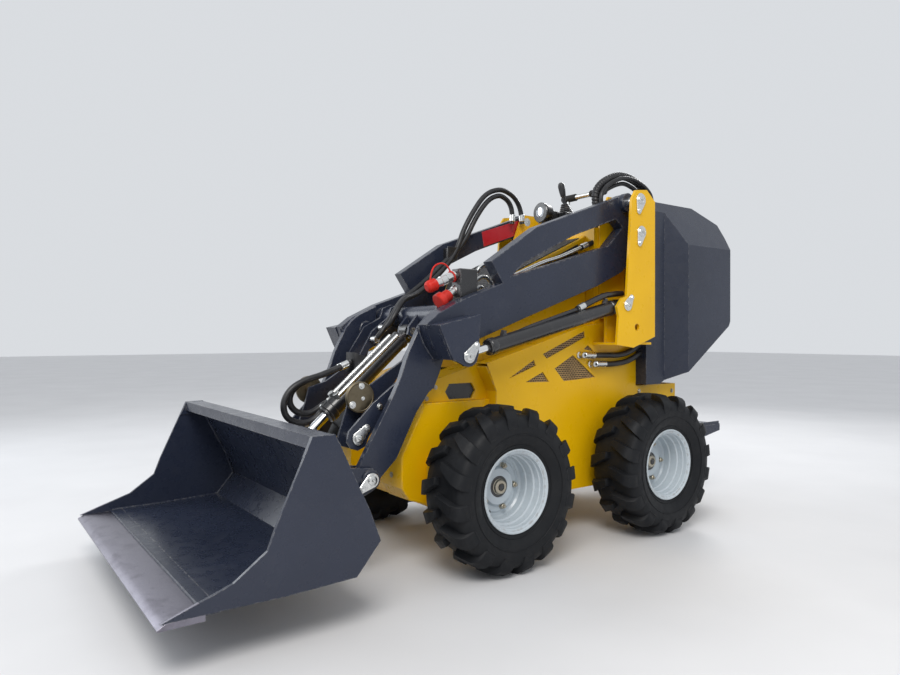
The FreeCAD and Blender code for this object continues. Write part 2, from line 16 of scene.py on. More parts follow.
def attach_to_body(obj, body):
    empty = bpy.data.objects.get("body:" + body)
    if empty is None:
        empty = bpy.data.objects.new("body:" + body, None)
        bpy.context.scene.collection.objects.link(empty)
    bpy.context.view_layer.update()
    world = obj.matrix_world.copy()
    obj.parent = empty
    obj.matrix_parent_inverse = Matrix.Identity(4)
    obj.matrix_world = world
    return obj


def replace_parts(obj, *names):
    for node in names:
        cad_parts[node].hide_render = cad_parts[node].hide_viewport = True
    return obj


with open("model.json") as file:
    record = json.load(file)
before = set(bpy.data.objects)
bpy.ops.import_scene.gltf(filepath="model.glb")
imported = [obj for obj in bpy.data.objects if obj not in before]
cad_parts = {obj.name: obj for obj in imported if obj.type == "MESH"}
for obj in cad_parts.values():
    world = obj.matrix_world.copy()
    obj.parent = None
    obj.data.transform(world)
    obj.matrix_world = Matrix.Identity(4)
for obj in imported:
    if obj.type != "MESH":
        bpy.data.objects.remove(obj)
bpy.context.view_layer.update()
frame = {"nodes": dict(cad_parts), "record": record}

NODES = frame["nodes"]

# Camera of the photograph: place, heading and focal length were fitted to the four wheels.
CAMERA_PLACE = (2.307, -1.799, 0.830)
CAMERA_HEADING = (-0.808, 0.589)
CAMERA_PITCH = math.radians(-0.144)
CAMERA_LENS = 27.41
SENSOR_WIDTH = 36.0


def show(thing):
    """Puts a thing into the scene."""
    bpy.context.scene.collection.objects.link(thing)


def new_material(name):
    """A material with nodes and its principled shader."""
    material = bpy.data.materials.new(name)
    material.use_nodes = True
    return material, material.node_tree, material.node_tree.nodes["Principled BSDF"]


def link(tree, source, target):
    """Joins two sockets."""
    tree.links.new(source, target)



def mix_colours(tree, factor, first, second):
    """A colour between two, by a factor socket."""
    node = tree.nodes.new("ShaderNodeMix")
    node.data_type = "RGBA"
    link(tree, factor, node.inputs["Factor"])
    for socket, colour in (("A", first), ("B", second)):
        target = next(i for i in node.inputs if i.name == socket and i.type == "RGBA")
        if isinstance(colour, bpy.types.NodeSocket):
            link(tree, colour, target)
        else:
            target.default_value = (*colour, 1.0)
    return next(o for o in node.outputs if o.type == "RGBA")


def noise(tree, scale, detail=4.0, roughness=0.55, stretch=(1, 1, 1)):
    """A noise value in object space, stretched along the axes."""
    where = tree.nodes.new("ShaderNodeTexCoord")
    mapping = tree.nodes.new("ShaderNodeMapping")
    mapping.inputs["Scale"].default_value = stretch
    texture = tree.nodes.new("ShaderNodeTexNoise")
    texture.inputs["Scale"].default_value = scale
    texture.inputs["Detail"].default_value = detail
    texture.inputs["Roughness"].default_value = roughness
    link(tree, where.outputs["Object"], mapping.inputs["Vector"])
    link(tree, mapping.outputs["Vector"], texture.inputs["Vector"])
    return texture.outputs["Fac"]


def ramp(tree, value, low, high, first=0.0, second=1.0):
    """value remapped from low..high to first..second, clamped."""
    node = tree.nodes.new("ShaderNodeMapRange")
    for name, number in (("From Min", low), ("From Max", high), ("To Min", first), ("To Max", second)):
        node.inputs[name].default_value = number
    link(tree, value, node.inputs["Value"])
    return node.outputs["Result"]


def maths(tree, operation, first, second=None):
    """The result of one sum over sockets or numbers."""
    node = tree.nodes.new("ShaderNodeMath")
    node.operation = operation
    for index, value in enumerate((first, second)):
        if isinstance(value, bpy.types.NodeSocket):
            link(tree, value, node.inputs[index])
        elif value is not None:
            node.inputs[index].default_value = value
    return node.outputs["Value"]


def edge_wear(tree):
    """Near 1 on sharp edges and 0 on flat faces, from the bevelled normal."""
    bevel = tree.nodes.new("ShaderNodeBevel")
    bevel.samples = 4
    bevel.inputs["Radius"].default_value = 0.004
    shape = tree.nodes.new("ShaderNodeNewGeometry")
    dot = tree.nodes.new("ShaderNodeVectorMath")
    dot.operation = "DOT_PRODUCT"
    link(tree, bevel.outputs["Normal"], dot.inputs[0])
    link(tree, shape.outputs["Normal"], dot.inputs[1])
    return ramp(tree, dot.outputs["Value"], 0.99, 0.86)


def bump(tree, shader, height, strength, distance):
    """Raises the shader's normal by a height socket."""
    node = tree.nodes.new("ShaderNodeBump")
    node.inputs["Strength"].default_value = strength
    node.inputs["Distance"].default_value = distance
    link(tree, height, node.inputs["Height"])
    link(tree, node.outputs["Normal"], shader.inputs["Normal"])


def colour_by(tree, shader, factor, first, second):
    """Colours the shader between two colours."""
    link(tree, mix_colours(tree, factor, first, second), shader.inputs["Base Color"])


def roughen(tree, shader, texture, low, high, first, second):
    """Ties the shader's roughness to a texture."""
    link(tree, ramp(tree, texture, low, high, first, second), shader.inputs["Roughness"])


ROAD_DUST = (0.30, 0.28, 0.25)
BARE_EDGE = (0.30, 0.29, 0.28)


def paint(name, colour, dark, rough, coat, dust=0.10, shine=0.5):
    """Sprayed paint: slight orange peel, dust, and wear on its edges."""
    material, tree, shader = new_material(name)
    base = mix_colours(tree, ramp(tree, noise(tree, 3.0), 0.35, 0.7), colour, dark)
    dusty = ramp(tree, noise(tree, 11.0, 8.0, 0.7), 0.55, 0.8, 0.0, dust)
    base = mix_colours(tree, dusty, base, ROAD_DUST)
    chips = ramp(tree, noise(tree, 60.0), 0.45, 0.6, 0.0, 0.6)
    colour_by(tree, shader, maths(tree, "MULTIPLY", edge_wear(tree), chips), base, BARE_EDGE)
    roughen(tree, shader, noise(tree, 25.0, 6.0), 0.3, 0.75, rough - 0.06, rough + 0.12)
    shader.inputs["Coat Weight"].default_value = coat
    shader.inputs["Coat Roughness"].default_value = 0.18
    shader.inputs["Specular IOR Level"].default_value = shine
    bump(tree, shader, noise(tree, 420.0, 2.0), 0.08, 0.0006)
    return material


def metal(name, colour, rough, amount=0.25, streak=(1, 1, 1), stain=(0.2, 0.17, 0.14)):
    """Bare or plated metal with stains and fine scratches along an axis."""
    material, tree, shader = new_material(name)
    stains = ramp(tree, noise(tree, 14.0, 8.0, 0.65), 0.5, 0.8, 0.0, amount)
    colour_by(tree, shader, stains, colour, stain)
    shader.inputs["Metallic"].default_value = 1.0
    roughen(tree, shader, noise(tree, 90.0, 6.0, 0.6, streak), 0.3, 0.7, rough * 0.7, rough * 1.4)
    bump(tree, shader, noise(tree, 300.0, 3.0, 0.6, streak), 0.05, 0.0004)
    return material


def rubber(name, colour, dust, rough):
    """Moulded rubber with dust in its pores."""
    material, tree, shader = new_material(name)
    powder = ramp(tree, noise(tree, 8.0, 8.0, 0.7), 0.42, 0.75, 0.0, 0.5)
    colour_by(tree, shader, powder, colour, dust)
    roughen(tree, shader, noise(tree, 40.0, 5.0), 0.3, 0.7, rough - 0.08, rough + 0.1)
    shader.inputs["Specular IOR Level"].default_value = 0.25
    bump(tree, shader, noise(tree, 260.0, 4.0), 0.25, 0.0008)
    return material


HOLE_PITCH = 0.0095
HOLE_RADIUS = 0.0037
# Painted shade: the holes are coloured near-black for the shade seen through them.
HOLE_SHADE = (0.004, 0.004, 0.005)
# Rise and run of the hood's slope together, over its length.
SLOPE_SHARE = 1.34


def perforated(name, light, dark):
    """Sheet with staggered round holes, its own colour between light and dark; the holes are painted
    near-black as the shade seen through them.
    """
    material, tree, shader = new_material(name)
    work = partial(maths, tree)
    where = tree.nodes.new("ShaderNodeTexCoord")
    place = tree.nodes.new("ShaderNodeSeparateXYZ")
    link(tree, where.outputs["Object"], place.inputs[0])
    x, y, z = place.outputs
    shape = tree.nodes.new("ShaderNodeNewGeometry")
    facing = tree.nodes.new("ShaderNodeSeparateXYZ")
    link(tree, shape.outputs["Normal"], facing.inputs[0])
    sideways = work("GREATER_THAN", work("ABSOLUTE", facing.outputs["X"]), 0.6)
    other = work("SUBTRACT", 1.0, sideways)
    slope = work("DIVIDE", work("ADD", y, z), SLOPE_SHARE)
    across, along = (work("ADD", work("MULTIPLY", side, sideways), work("MULTIPLY", top, other))
                     for side, top in ((y, x), (z, slope)))

    def nearest(offset):
        """Squared distance to the nearest hole of one lattice."""
        squares = []
        for value, pitch in ((across, HOLE_PITCH), (along, HOLE_PITCH * math.sqrt(3))):
            share = work("FRACT", work("ADD", work("DIVIDE", value, pitch), offset + 50))
            away = work("MULTIPLY", work("SUBTRACT", share, 0.5), pitch)
            squares.append(work("MULTIPLY", away, away))
        return work("ADD", *squares)

    hole = work("LESS_THAN", work("MINIMUM", nearest(0.0), nearest(0.5)), HOLE_RADIUS ** 2)
    steel = mix_colours(tree, ramp(tree, noise(tree, 20.0), 0.4, 0.7), light, dark)
    # The holes take painted shade, near-black, over the sheet's own colour.
    colour_by(tree, shader, hole, steel, HOLE_SHADE)
    roughen(tree, shader, hole, 0, 1, 0.42, 0.95)
    bump(tree, shader, work("SUBTRACT", 1.0, hole), 0.5, 0.0015)
    return material


def hose_rubber():
    """Wrapped black hose: a fine cloth print along it."""
    material, tree, shader = new_material("hose_rubber")
    powder = ramp(tree, noise(tree, 30.0, 6.0), 0.45, 0.75, 0.0, 0.45)
    colour_by(tree, shader, powder, (0.012, 0.012, 0.014), (0.045, 0.045, 0.048))
    roughen(tree, shader, noise(tree, 60.0), 0.3, 0.7, 0.34, 0.5)
    bump(tree, shader, noise(tree, 900.0, 2.0), 0.2, 0.0005)
    return material


def lens_glass():
    """A clear lens over a bright reflector."""
    material, tree, shader = new_material("lens_glass")
    facets = ramp(tree, noise(tree, 120.0), 0.3, 0.7)
    colour_by(tree, shader, facets, (0.75, 0.78, 0.82), (0.55, 0.58, 0.62))
    roughen(tree, shader, noise(tree, 70.0), 0.3, 0.7, 0.04, 0.10)
    shader.inputs["Metallic"].default_value = 0.8
    shader.inputs["Coat Weight"].default_value = 1.0
    return material


# Streaks that run along Y.
LENGTHWISE = (1, 8, 1)
MATERIALS = {name: make(name, *look) for name, make, *look in (
    ("tyre_rubber", rubber, (0.006, 0.007, 0.009), (0.018, 0.018, 0.019), 0.55),
    ("rim_paint", paint, (0.50, 0.56, 0.60), (0.43, 0.48, 0.52), 0.30, 0.3),
    ("yellow_paint", paint, (0.80, 0.46, 0.001), (0.72, 0.40, 0.001), 0.30, 0.12, 0.03, 0.3),
    ("slate_paint", paint, (0.021, 0.027, 0.048), (0.016, 0.021, 0.038), 0.27, 0.15, 0.04, 0.4),
    ("zinc_steel", metal, (0.74, 0.75, 0.74), 0.27),
    ("chrome_rod", metal, (0.86, 0.87, 0.88), 0.08, 0.08),
    ("black_paint", paint, (0.014, 0.014, 0.016), (0.010, 0.010, 0.012), 0.28, 0.5),
    ("pad_rubber", rubber, (0.018, 0.018, 0.019), (0.050, 0.048, 0.046), 0.7),
    ("engine_iron", metal, (0.12, 0.12, 0.12), 0.55, 0.5),
    ("worn_steel", metal, (0.20, 0.19, 0.23), 0.36, 0.25, LENGTHWISE),
)}
PERFORATED = perforated("perforated_sheet", (0.050, 0.052, 0.058), (0.10, 0.10, 0.10))
GRILLE = perforated("perforated_grille", (0.52, 0.33, 0.13), (0.38, 0.24, 0.10))
HOSE_RUBBER = hose_rubber()
LENS = lens_glass()
BOLT_STEEL = metal("bolt_steel", (0.46, 0.42, 0.34), 0.36, 0.5)
OXIDE_STEEL = metal("oxide_steel", (0.19, 0.16, 0.11), 0.45, 0.8, stain=(0.08, 0.055, 0.03))
WORN_EDGE = metal("worn_edge", (0.24, 0.23, 0.27), 0.34, 0.7, LENGTHWISE, (0.07, 0.06, 0.08))
RED_PAINT = paint("red_paint", (0.50, 0.010, 0.022), (0.42, 0.008, 0.018), 0.32, 0.5)
RED_RUBBER = rubber("red_rubber", (0.55, 0.020, 0.012), (0.50, 0.06, 0.05), 0.42)


def dress(thing, material):
    """Puts one material on all of a thing's slots."""
    if not thing.data.materials:
        thing.data.materials.append(material)
    for index in range(len(thing.data.materials)):
        thing.data.materials[index] = material


for part in frame["record"]["subparts"]:
    if part["node"] in NODES:
        dress(NODES[part["node"]], MATERIALS[part["material_slot"]])



# Shapes are drawn in millimetres from the middle of the wheelbase: x to the machine's left,
# y to the rear and z up from the ground. SHIFT takes them to the frame.
SHIFT = 205.0
SIDES = (("left", 1), ("right", -1))
AXLES = (("front", -423), ("rear", 423))
TYRE_RADIUS = 292
TRACK_HALF = 446
UP = (0, 0, 1)


def axes_across(axis):
    """Two unit vectors across an axis; the first lies level where it can."""
    axis = Vector(axis).normalized()
    level = Vector((0, 0, 1)) if abs(axis.z) < 0.95 else Vector((1, 0, 0))
    first = axis.cross(level).normalized()
    return first, axis.cross(first).normalized()


def spline(points, resolution=8):
    """Points along the smooth line of a hose's route."""
    curve = bpy.data.curves.new("route", "CURVE")
    curve.dimensions = "3D"
    curve.resolution_u = resolution
    line = curve.splines.new("NURBS")
    line.points.add(len(points) - 1)
    for item, point in zip(line.points, points):
        item.co = (*point, 1)
    line.order_u = 3
    line.use_endpoint_u = True
    thing = bpy.data.objects.new("route", curve)
    mesh = bpy.data.meshes.new_from_object(thing)
    route = [vertex.co.copy() for vertex in mesh.vertices]
    bpy.data.objects.remove(thing)
    bpy.data.curves.remove(curve)
    bpy.data.meshes.remove(mesh)
    return route


class Form:
    """Closed pieces of mesh that become one object of the scene."""

    def __init__(self):
        self.points = []
        self.faces = []

    def add(self, points, faces):
        """Takes in points and faces that count from their first point."""
        first = len(self.points)
        self.points += [Vector(point) for point in points]
        self.faces += [[first + index for index in face] for face in faces]

    def loft(self, rings, closed=False):
        """Quads between rings of equally many points, capped unless the rings close."""
        count, last = len(rings[0]), len(rings)
        faces = []
        for k in range(last if closed else last - 1):
            here, there = k * count, (k + 1) % last * count
            for i in range(count):
                j = (i + 1) % count
                faces.append((here + i, here + j, there + j, there + i))
        if not closed:
            faces.append(tuple(range(count))[::-1])
            faces.append(tuple(range((last - 1) * count, last * count)))
        self.add([point for ring in rings for point in ring], faces)

    def turned(self, start, axis, profile, sides=28, turn=0.0):
        """A round piece; profile holds (distance along the axis, radius)."""
        start, axis = Vector(start), Vector(axis).normalized()
        first, second = axes_across(axis)
        rings = []
        for distance, radius in profile:
            middle = start + axis * distance
            rings.append([middle + (first * math.cos(a) + second * math.sin(a)) * max(radius, 0.01)
                          for a in (turn + 2 * math.pi * i / sides for i in range(sides))])
        self.loft(rings)

    def bar(self, start, end, radius, sides=28, chamfer=1.2):
        """A round bar with small chamfers."""
        length = (Vector(end) - Vector(start)).length
        self.turned(start, Vector(end) - Vector(start),
                    [(0, radius - chamfer), (chamfer, radius), (length - chamfer, radius),
                     (length, radius - chamfer)], sides)

    def bolt(self, place, axis, width=17, height=7, washer=True):
        """A hexagon head on its washer."""
        place, axis = Vector(place), Vector(axis).normalized()
        if washer:
            self.turned(place, axis, [(-1, width * 0.8), (1.4, width * 0.8), (2, width * 0.76)], 20)
        self.turned(place, axis, [(0, width * 0.55), (height - 1.2, width * 0.55),
                                  (height, width * 0.47)], 6)

    def ring(self, centre, axis, major, minor, sides=32, around=8):
        """A torus."""
        centre = Vector(centre)
        axis = Vector(axis).normalized()
        first, second = axes_across(axis)
        rings = []
        for i in range(sides):
            a = 2 * math.pi * i / sides
            out = first * math.cos(a) + second * math.sin(a)
            rings.append([centre + out * (major + minor * math.cos(b)) + axis * minor * math.sin(b)
                          for b in (2 * math.pi * k / around for k in range(around))])
        self.loft(rings, closed=True)

    def tube(self, route, radius, sides=12, ridge=0.0, pitch=10.0):
        """A round tube along a route; ridge raises a spiral of that height at each pitch."""
        route = [Vector(point) for point in route]
        side = axes_across(route[1] - route[0])[0]
        rings, travelled = [], 0.0
        for i, point in enumerate(route):
            ahead = route[min(i + 1, len(route) - 1)]
            behind = route[max(i - 1, 0)]
            heading = (ahead - behind).normalized()
            side = (side - heading * side.dot(heading)).normalized()
            up = heading.cross(side)
            if i:
                travelled += (point - route[i - 1]).length
            ring = []
            for k in range(sides):
                a = 2 * math.pi * k / sides
                wave = abs((travelled / pitch + k / sides) % 1.0 - 0.5) * 2
                size = radius + ridge * min(1.0, 1.6 * wave)
                ring.append(point + (side * math.cos(a) + up * math.sin(a)) * size)
            rings.append(ring)
        self.loft(rings)

    def weld(self, start, end, radius, steps, sides=8):
        """A straight weld bead on both sides of the machine."""
        for side, sign in SIDES:
            first, last = (Vector((sign * x, y, z)) for x, y, z in (start, end))
            self.tube([first.lerp(last, k / steps) for k in range(steps + 1)], radius, sides)

    def bars(self, low, high, place, radius):
        """A bar along X on both sides, between two distances from the middle."""
        for side, sign in SIDES:
            self.bar((sign * low, *place), (sign * high, *place), radius)

    def bolts(self, x, places, width, height):
        """Bolts at (y, z) places on both sides, with their heads outwards."""
        for side, sign in SIDES:
            for place in places:
                self.bolt((sign * x, *place), (sign, 0, 0), width, height)

    def knobs(self, x, place, profile, sides):
        """A round piece on both sides, standing outwards from x."""
        for side, sign in SIDES:
            self.turned((sign * x, *place), (sign, 0, 0), profile, sides)

    def plates(self, outline, low, high, **rest):
        """A plate on both sides, between two distances from the middle."""
        for side, sign in SIDES:
            self.plate(outline, *sided(sign, low, high), **rest)

    def block(self, x, y, z, chamfer=2.0):
        """A box between (low, high) pairs with chamfered corners along X."""
        (y0, y1), (z0, z1) = y, z
        self.plate([(y0, z0), (y1, z0), (y1, z1), (y0, z1)], *x, chamfer=chamfer)

    def plate(self, outline, x0, x1, windows=(), chamfer=0.8):
        """A plate across X with a side-view outline of (y, z) and windows; its rims are chamfered."""
        loops = [outline] + list(windows)
        insets = [inset_loop(loop, chamfer, 1 if i == 0 else -1) for i, loop in enumerate(loops)]
        low, high = min(x0, x1), max(x0, x1)
        levels = [(low, insets), (low + chamfer, loops), (high - chamfer, loops), (high, insets)]
        points, faces, starts = [], [], []
        for x, shape in levels:
            starts.append([])
            for loop in shape:
                starts[-1].append(len(points))
                points += [(x, y, z) for y, z in loop]
        for k in range(3):
            for i, loop in enumerate(loops):
                here, there, count = starts[k][i], starts[k + 1][i], len(loop)
                for a in range(count):
                    b = (a + 1) % count
                    faces.append((here + a, here + b, there + b, there + a))
        flat = [[Vector((y, z, 0)) for y, z in loop] for loop in insets]
        caps = tessellate_polygon(flat)
        top = starts[3][0]
        faces += [tuple(cap) for cap in caps] + [tuple(top + i for i in cap[::-1]) for cap in caps]
        self.add(points, faces)

    def finish(self, name, body, slot, material=None, angle=32):
        """The object, riding on a body."""
        mesh = bpy.data.meshes.new(name)
        mesh.from_pydata([(p.x / 1000, (p.y + SHIFT) / 1000, p.z / 1000) for p in self.points],
                         [], self.faces)
        work = bmesh.new()
        work.from_mesh(mesh)
        bmesh.ops.recalc_face_normals(work, faces=work.faces)
        work.to_mesh(mesh)
        work.free()
        mesh.polygons.foreach_set("use_smooth", [True] * len(mesh.polygons))
        mesh.set_sharp_from_angle(angle=math.radians(angle))
        mesh.materials.append(material or MATERIALS[slot])
        thing = bpy.data.objects.new(name, mesh)
        show(thing)
        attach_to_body(thing, body)
        return thing


def inset_loop(loop, distance, sense):
    """The loop moved inwards (sense 1) or outwards (-1) by a distance."""
    area = sum(a[0] * b[1] - b[0] * a[1] for a, b in zip(loop, loop[1:] + loop[:1]))
    turn = sense * (1 if area > 0 else -1)
    result = []
    for i, point in enumerate(loop):
        here = Vector(point)
        before = (here - Vector(loop[i - 1])).normalized()
        after = (Vector(loop[(i + 1) % len(loop)]) - here).normalized()
        first = Vector((-before.y, before.x)) * turn
        second = Vector((-after.y, after.x)) * turn
        across = (first + second).normalized()
        result.append(tuple(here + across * distance / max(across.dot(first), 0.35)))
    return result


def sided(sign, low, high):
    """The two faces of a piece on either side of the machine, lower x first."""
    return (low, high) if sign > 0 else (-high, -low)


def at(x, places):
    """(y, z) places as points at one x."""
    return [(x, y, z) for y, z in places]


# Half of the tyre's section from the bead over the side to the middle: (x, radius).
TYRE_HALF = [(83.7, 135.5), (85, 150), (92, 163), (102, 182), (107.5, 204), (109, 222), (105, 242),
             (97, 256), (84, 264), (50, 267.5), (0, 268.5)]
# The raised rings on the tyre's side: (radius, x).
TYRE_RINGS = ((160, 91), (200, 107))
LUGS_IN_ROW = 16
# How far a lug falls back around the tyre, over how much of its width.
LUG_SWEEP = 46
LUG_SPAN = 107
# Stations of a lug from the middle to the shoulder: (x, foot radius, top radius, half width).
LUG = [(5, 260, 286, 13), (9, 260, 291.6, 15), (42, 258, 291.4, 19), (78, 252, 289, 24),
       (97, 244, 277, 27), (107, 234, 262, 28), (110, 226, 249, 26), (108.5, 222, 236, 22)]
RIM_SECTION = [(-89, 145), (-84, 146), (-84, 134.3), (-60, 133), (-40, 127), (40, 127), (62, 133),
               (84, 134.3), (84, 145), (86.5, 147), (89, 145.5), (89, 142), (84, 137), (80, 130),
               (66, 129), (63, 125.5), (42, 124), (38, 118.5), (8, 117.5), (4, 113), (-20, 112),
               (-27, 106), (-27, 96), (-23, 90), (-23, 72), (-12, 64), (-12, 30), (-17, 30),
               (-17, 59), (-60, 60), (-60, 64), (-36, 66), (-33, 118), (-40, 122), (-62, 128),
               (-80, 129), (-89, 131)]
WHEEL_STEPS = 96
WHEEL_BOLTS = 5
BOLT_CIRCLE = 76


def wheel_spot(axle_y, sign):
    """A function that places (x outwards, radius, angle) on one wheel."""
    def spot(x, radius=0, angle=0):
        return (sign * (TRACK_HALF + x), axle_y + radius * math.sin(angle),
                TYRE_RADIUS + radius * math.cos(angle))
    return spot


def revolved(section, spot):
    """Rings of a wheel's section all round its axle."""
    return [[spot(x, radius, 2 * math.pi * i / WHEEL_STEPS) for x, radius in section]
            for i in range(WHEEL_STEPS)]


def tyre(name, spot):
    """A lugged tyre: two staggered rows of swept bars on a rounded carcass."""
    form = Form()
    inner_half = [(-x, radius) for x, radius in TYRE_HALF[-2::-1]]
    form.loft(revolved(TYRE_HALF + inner_half, spot), closed=True)
    for row, offset in ((1, 0.0), (-1, 0.5)):
        for lug in range(LUGS_IN_ROW):
            start = 2 * math.pi * (lug + offset) / LUGS_IN_ROW
            rings = []
            for x, foot, top, half in LUG:
                middle = start - LUG_SWEEP * (x - LUG[0][0]) / LUG_SPAN / TYRE_RADIUS
                wide, side, slim = ((half + more) / TYRE_RADIUS for more in (3, 0, -2.5))
                ring = [(foot, -wide), (top - 5, -side), (top, -slim),
                        (top, slim), (top - 5, side), (foot, wide)]
                rings.append([spot(row * x, radius, middle + turn) for radius, turn in ring])
            form.loft(rings)
    for radius, x in TYRE_RINGS:
        form.ring(spot(x), (1, 0, 0), radius, 2.2, WHEEL_STEPS, 6)
    piece = form.finish("lugged_" + name, "wheel_" + name, "tyre_rubber", angle=38)
    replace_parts(piece, "tyre_" + name)


def rim(name, spot, sign):
    """A deep-dished rim with its bolts, hub end and valve."""
    form = Form()
    form.loft(revolved(RIM_SECTION, spot), closed=True)
    piece = form.finish("dished_" + name, "wheel_" + name, "rim_paint", angle=28)
    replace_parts(piece, "rim_" + name)
    trim, cap, out = Form(), Form(), (sign, 0, 0)
    for k in range(WHEEL_BOLTS):
        angle = math.radians(20) + 2 * math.pi * k / WHEEL_BOLTS
        trim.turned(spot(-26.5, BOLT_CIRCLE, angle), out,
                    [(0, 13), (5, 12), (5.5, 10.5), (17, 10.5), (18.5, 9), (18.6, 5.5), (25, 5.5),
                     (25.5, 4.5)], 6)
    trim.turned(spot(-14), out, [(0, 29), (4, 29), (6, 26), (14, 25), (16, 22), (16.2, 14), (10, 13),
                                 (10, 0)], 32)
    trim.finish("wheel_bolts_" + name, "wheel_" + name, "zinc_steel", BOLT_STEEL)
    cap.turned(spot(-6), out, [(0, 12), (9, 12), (10, 10)], 6)
    cap.turned(spot(-13), out, [(0, 38), (2, 38), (3.5, 36), (3.5, 30)], 32)
    cap.turned(spot(-27, 104, math.radians(215)), (sign, 0, 0.25),
               [(0, 8), (4, 6.5), (24, 4.6), (26, 5.6), (36, 5.6), (37, 4.5)], 14)
    cap.finish("wheel_valve_" + name, "wheel_" + name, "black_paint")


for axle, axle_y in AXLES:
    for side, sign in SIDES:
        tyre(axle + "_" + side, wheel_spot(axle_y, sign))
        rim(axle + "_" + side, wheel_spot(axle_y, sign), sign)



# Chassis: side panels with their windows, the nose, the hood and what is bolted to them.
# Outlines are side views in (y, z); the distances from the middle are those of outer faces.
PANEL_FACE = 300
HOOD_FACE = 225
NOSE_FACE = 235
CHANNEL_HALF = 118
SIDE_PANEL = [(-640, 225), (-560, 190), (786, 190), (786, 605), (498, 605), (498, 900), (440, 905),
              (163, 872), (-368, 726), (-321, 619), (-321, 560), (-440, 420), (-640, 400)]
PANEL_WINDOWS = [
    [(-78, 756), (163, 850), (166, 824), (-56, 738)],
    [(-259, 664), (-127, 733), (-117, 711)],
    [(-170, 647), (-78, 684), (-45, 644)],
    [(-11, 696), (94, 749), (228, 653), (41, 643)],
    [(160, 774), (184, 790), (218, 764)]]
PANEL_MESH = [(-280, 635), (240, 635), (240, 800), (170, 857), (-80, 775), (-280, 700)]
SHOULDER = [(-360, 723.2), (163, 867), (250, 877.4), (250, 882.4), (163, 872), (-360, 728.2)]
FOLD = [(-368, 712), (-321, 619), (-316, 621.5), (-363, 714.5)]
NOSE = [(-690, 245), (-560, 200), (-321, 200), (-321, 585), (-627, 585), (-637, 555), (-721, 402),
        (-721, 290)]
NOSE_TOP = [(-627, 585), (-605, 650), (-560, 668), (-360, 722), (-318, 732), (-318, 585)]
NOSE_POCKET = [(-515, 621), (-497, 650), (-391, 650), (-373, 621), (-391, 592), (-497, 592)]
NOSE_CHANNEL = [(-640, 234), (-560, 200), (-360, 200), (-360, 690), (-500, 640), (-560, 540),
                (-640, 400)]
HOOD = [(-360, 700), (-340, 900), (-200, 1010), (-170, 1080), (220, 1255), (250, 1270), (250, 700)]
HOOD_SIDE = [(-330, 730), (-318, 880), (-205, 975), (-60, 975), (150, 1068), (235, 1068), (235, 730)]
HOOD_MESH = [(-190, 1000), (-160, 1060), (200, 1228), (200, 1100), (-60, 985)]
HOOD_SCREEN = [(-340, 900), (-200, 1010), (-170, 1080), (220, 1255), (218.5, 1258.5),
               (-172.7, 1083), (-203, 1012), (-342.2, 903)]
# Bolts of the covers: (x, width, height, places).
COVER_BOLTS = [
    (PANEL_FACE, 13, 5, [(-610, 250), (-610, 380), (-480, 240), (-480, 400), (-340, 250), (-340, 520),
                         (700, 230), (760, 400), (760, 570), (520, 580), (470, 230)]),
    (NOSE_FACE, 11, 4, [(-600, 600), (-560, 640)]),
    (HOOD_FACE + 2, 12, 4, [(-300, 800), (-215, 930), (220, 740), (220, 1040)])]


def chassis():
    """The panels, the nose and the hood, with their grilles, screens and pockets."""
    for side, sign in SIDES:
        panel, mesh = Form(), Form()
        panel.plate(SIDE_PANEL, *sided(sign, PANEL_FACE - 5, PANEL_FACE), windows=PANEL_WINDOWS)
        panel.plate(SHOULDER, *sided(sign, HOOD_FACE, PANEL_FACE - 5), chamfer=0.3)
        panel.plate(FOLD, *sided(sign, NOSE_FACE, PANEL_FACE - 5), chamfer=0.3)
        panel.block(sided(sign, NOSE_FACE - 2, PANEL_FACE - 5), (-321, -316), (200, 621.5), 0.5)
        piece = panel.finish("windowed_panel_" + side, "chassis", "yellow_paint")
        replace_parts(piece, "side_panel_" + side)
        mesh.plate(PANEL_MESH, *sided(sign, 291, 294.6), chamfer=0.3)
        mesh.finish("side_grille_" + side, "chassis", "yellow_paint", GRILLE)
    nose, hood, screens, pocket = (Form() for _ in range(4))
    nose.plate(NOSE_CHANNEL, -CHANNEL_HALF, CHANNEL_HALF)
    nose.plates(NOSE, CHANNEL_HALF, 260, chamfer=3)
    nose.plates(NOSE_TOP, CHANNEL_HALF, HOOD_FACE, chamfer=1)
    nose.plates(NOSE_TOP, HOOD_FACE, NOSE_FACE, windows=[NOSE_POCKET], chamfer=1)
    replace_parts(nose.finish("nose_cover", "chassis", "yellow_paint"), "front_cover")
    hood.plate(HOOD, -HOOD_FACE, HOOD_FACE, chamfer=2.5)
    hood.plates(HOOD_SIDE, HOOD_FACE, HOOD_FACE + 2.5, chamfer=1)
    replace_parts(hood.finish("hood_shell", "chassis", "yellow_paint"), "hood")
    screens.plate(HOOD_SCREEN, -215, 215, chamfer=0.3)
    screens.plates(HOOD_MESH, HOOD_FACE, HOOD_FACE + 3, chamfer=0.3)
    screens.finish("hood_screens", "chassis", "black_paint", PERFORATED)
    # Painted shade: a black floor in the nose's hexagonal pocket stands for the shade inside it.
    pocket.plates(NOSE_POCKET, HOOD_FACE - 0.4, HOOD_FACE + 1, chamfer=0.2)
    pocket.finish("pocket_shade_floor", "chassis", "black_paint")


# The pins' places in the side view, and the faces and middles across the machine that they use.
ARM_PIVOT = (363, 1406)
LIFT_BASE = (279, 958)
ROD_PIN = (-556, 758)
BUCKET_PIN = (-875, 350)
KNEE_PIN = (-886, 481)
TILT_BASE = (-530, 849)
TILT_PIN = (-965, 470)
ARM_INSIDE = 292
ARM_FACE = 345
CYLINDER_X = 385
POST_FACE = 432


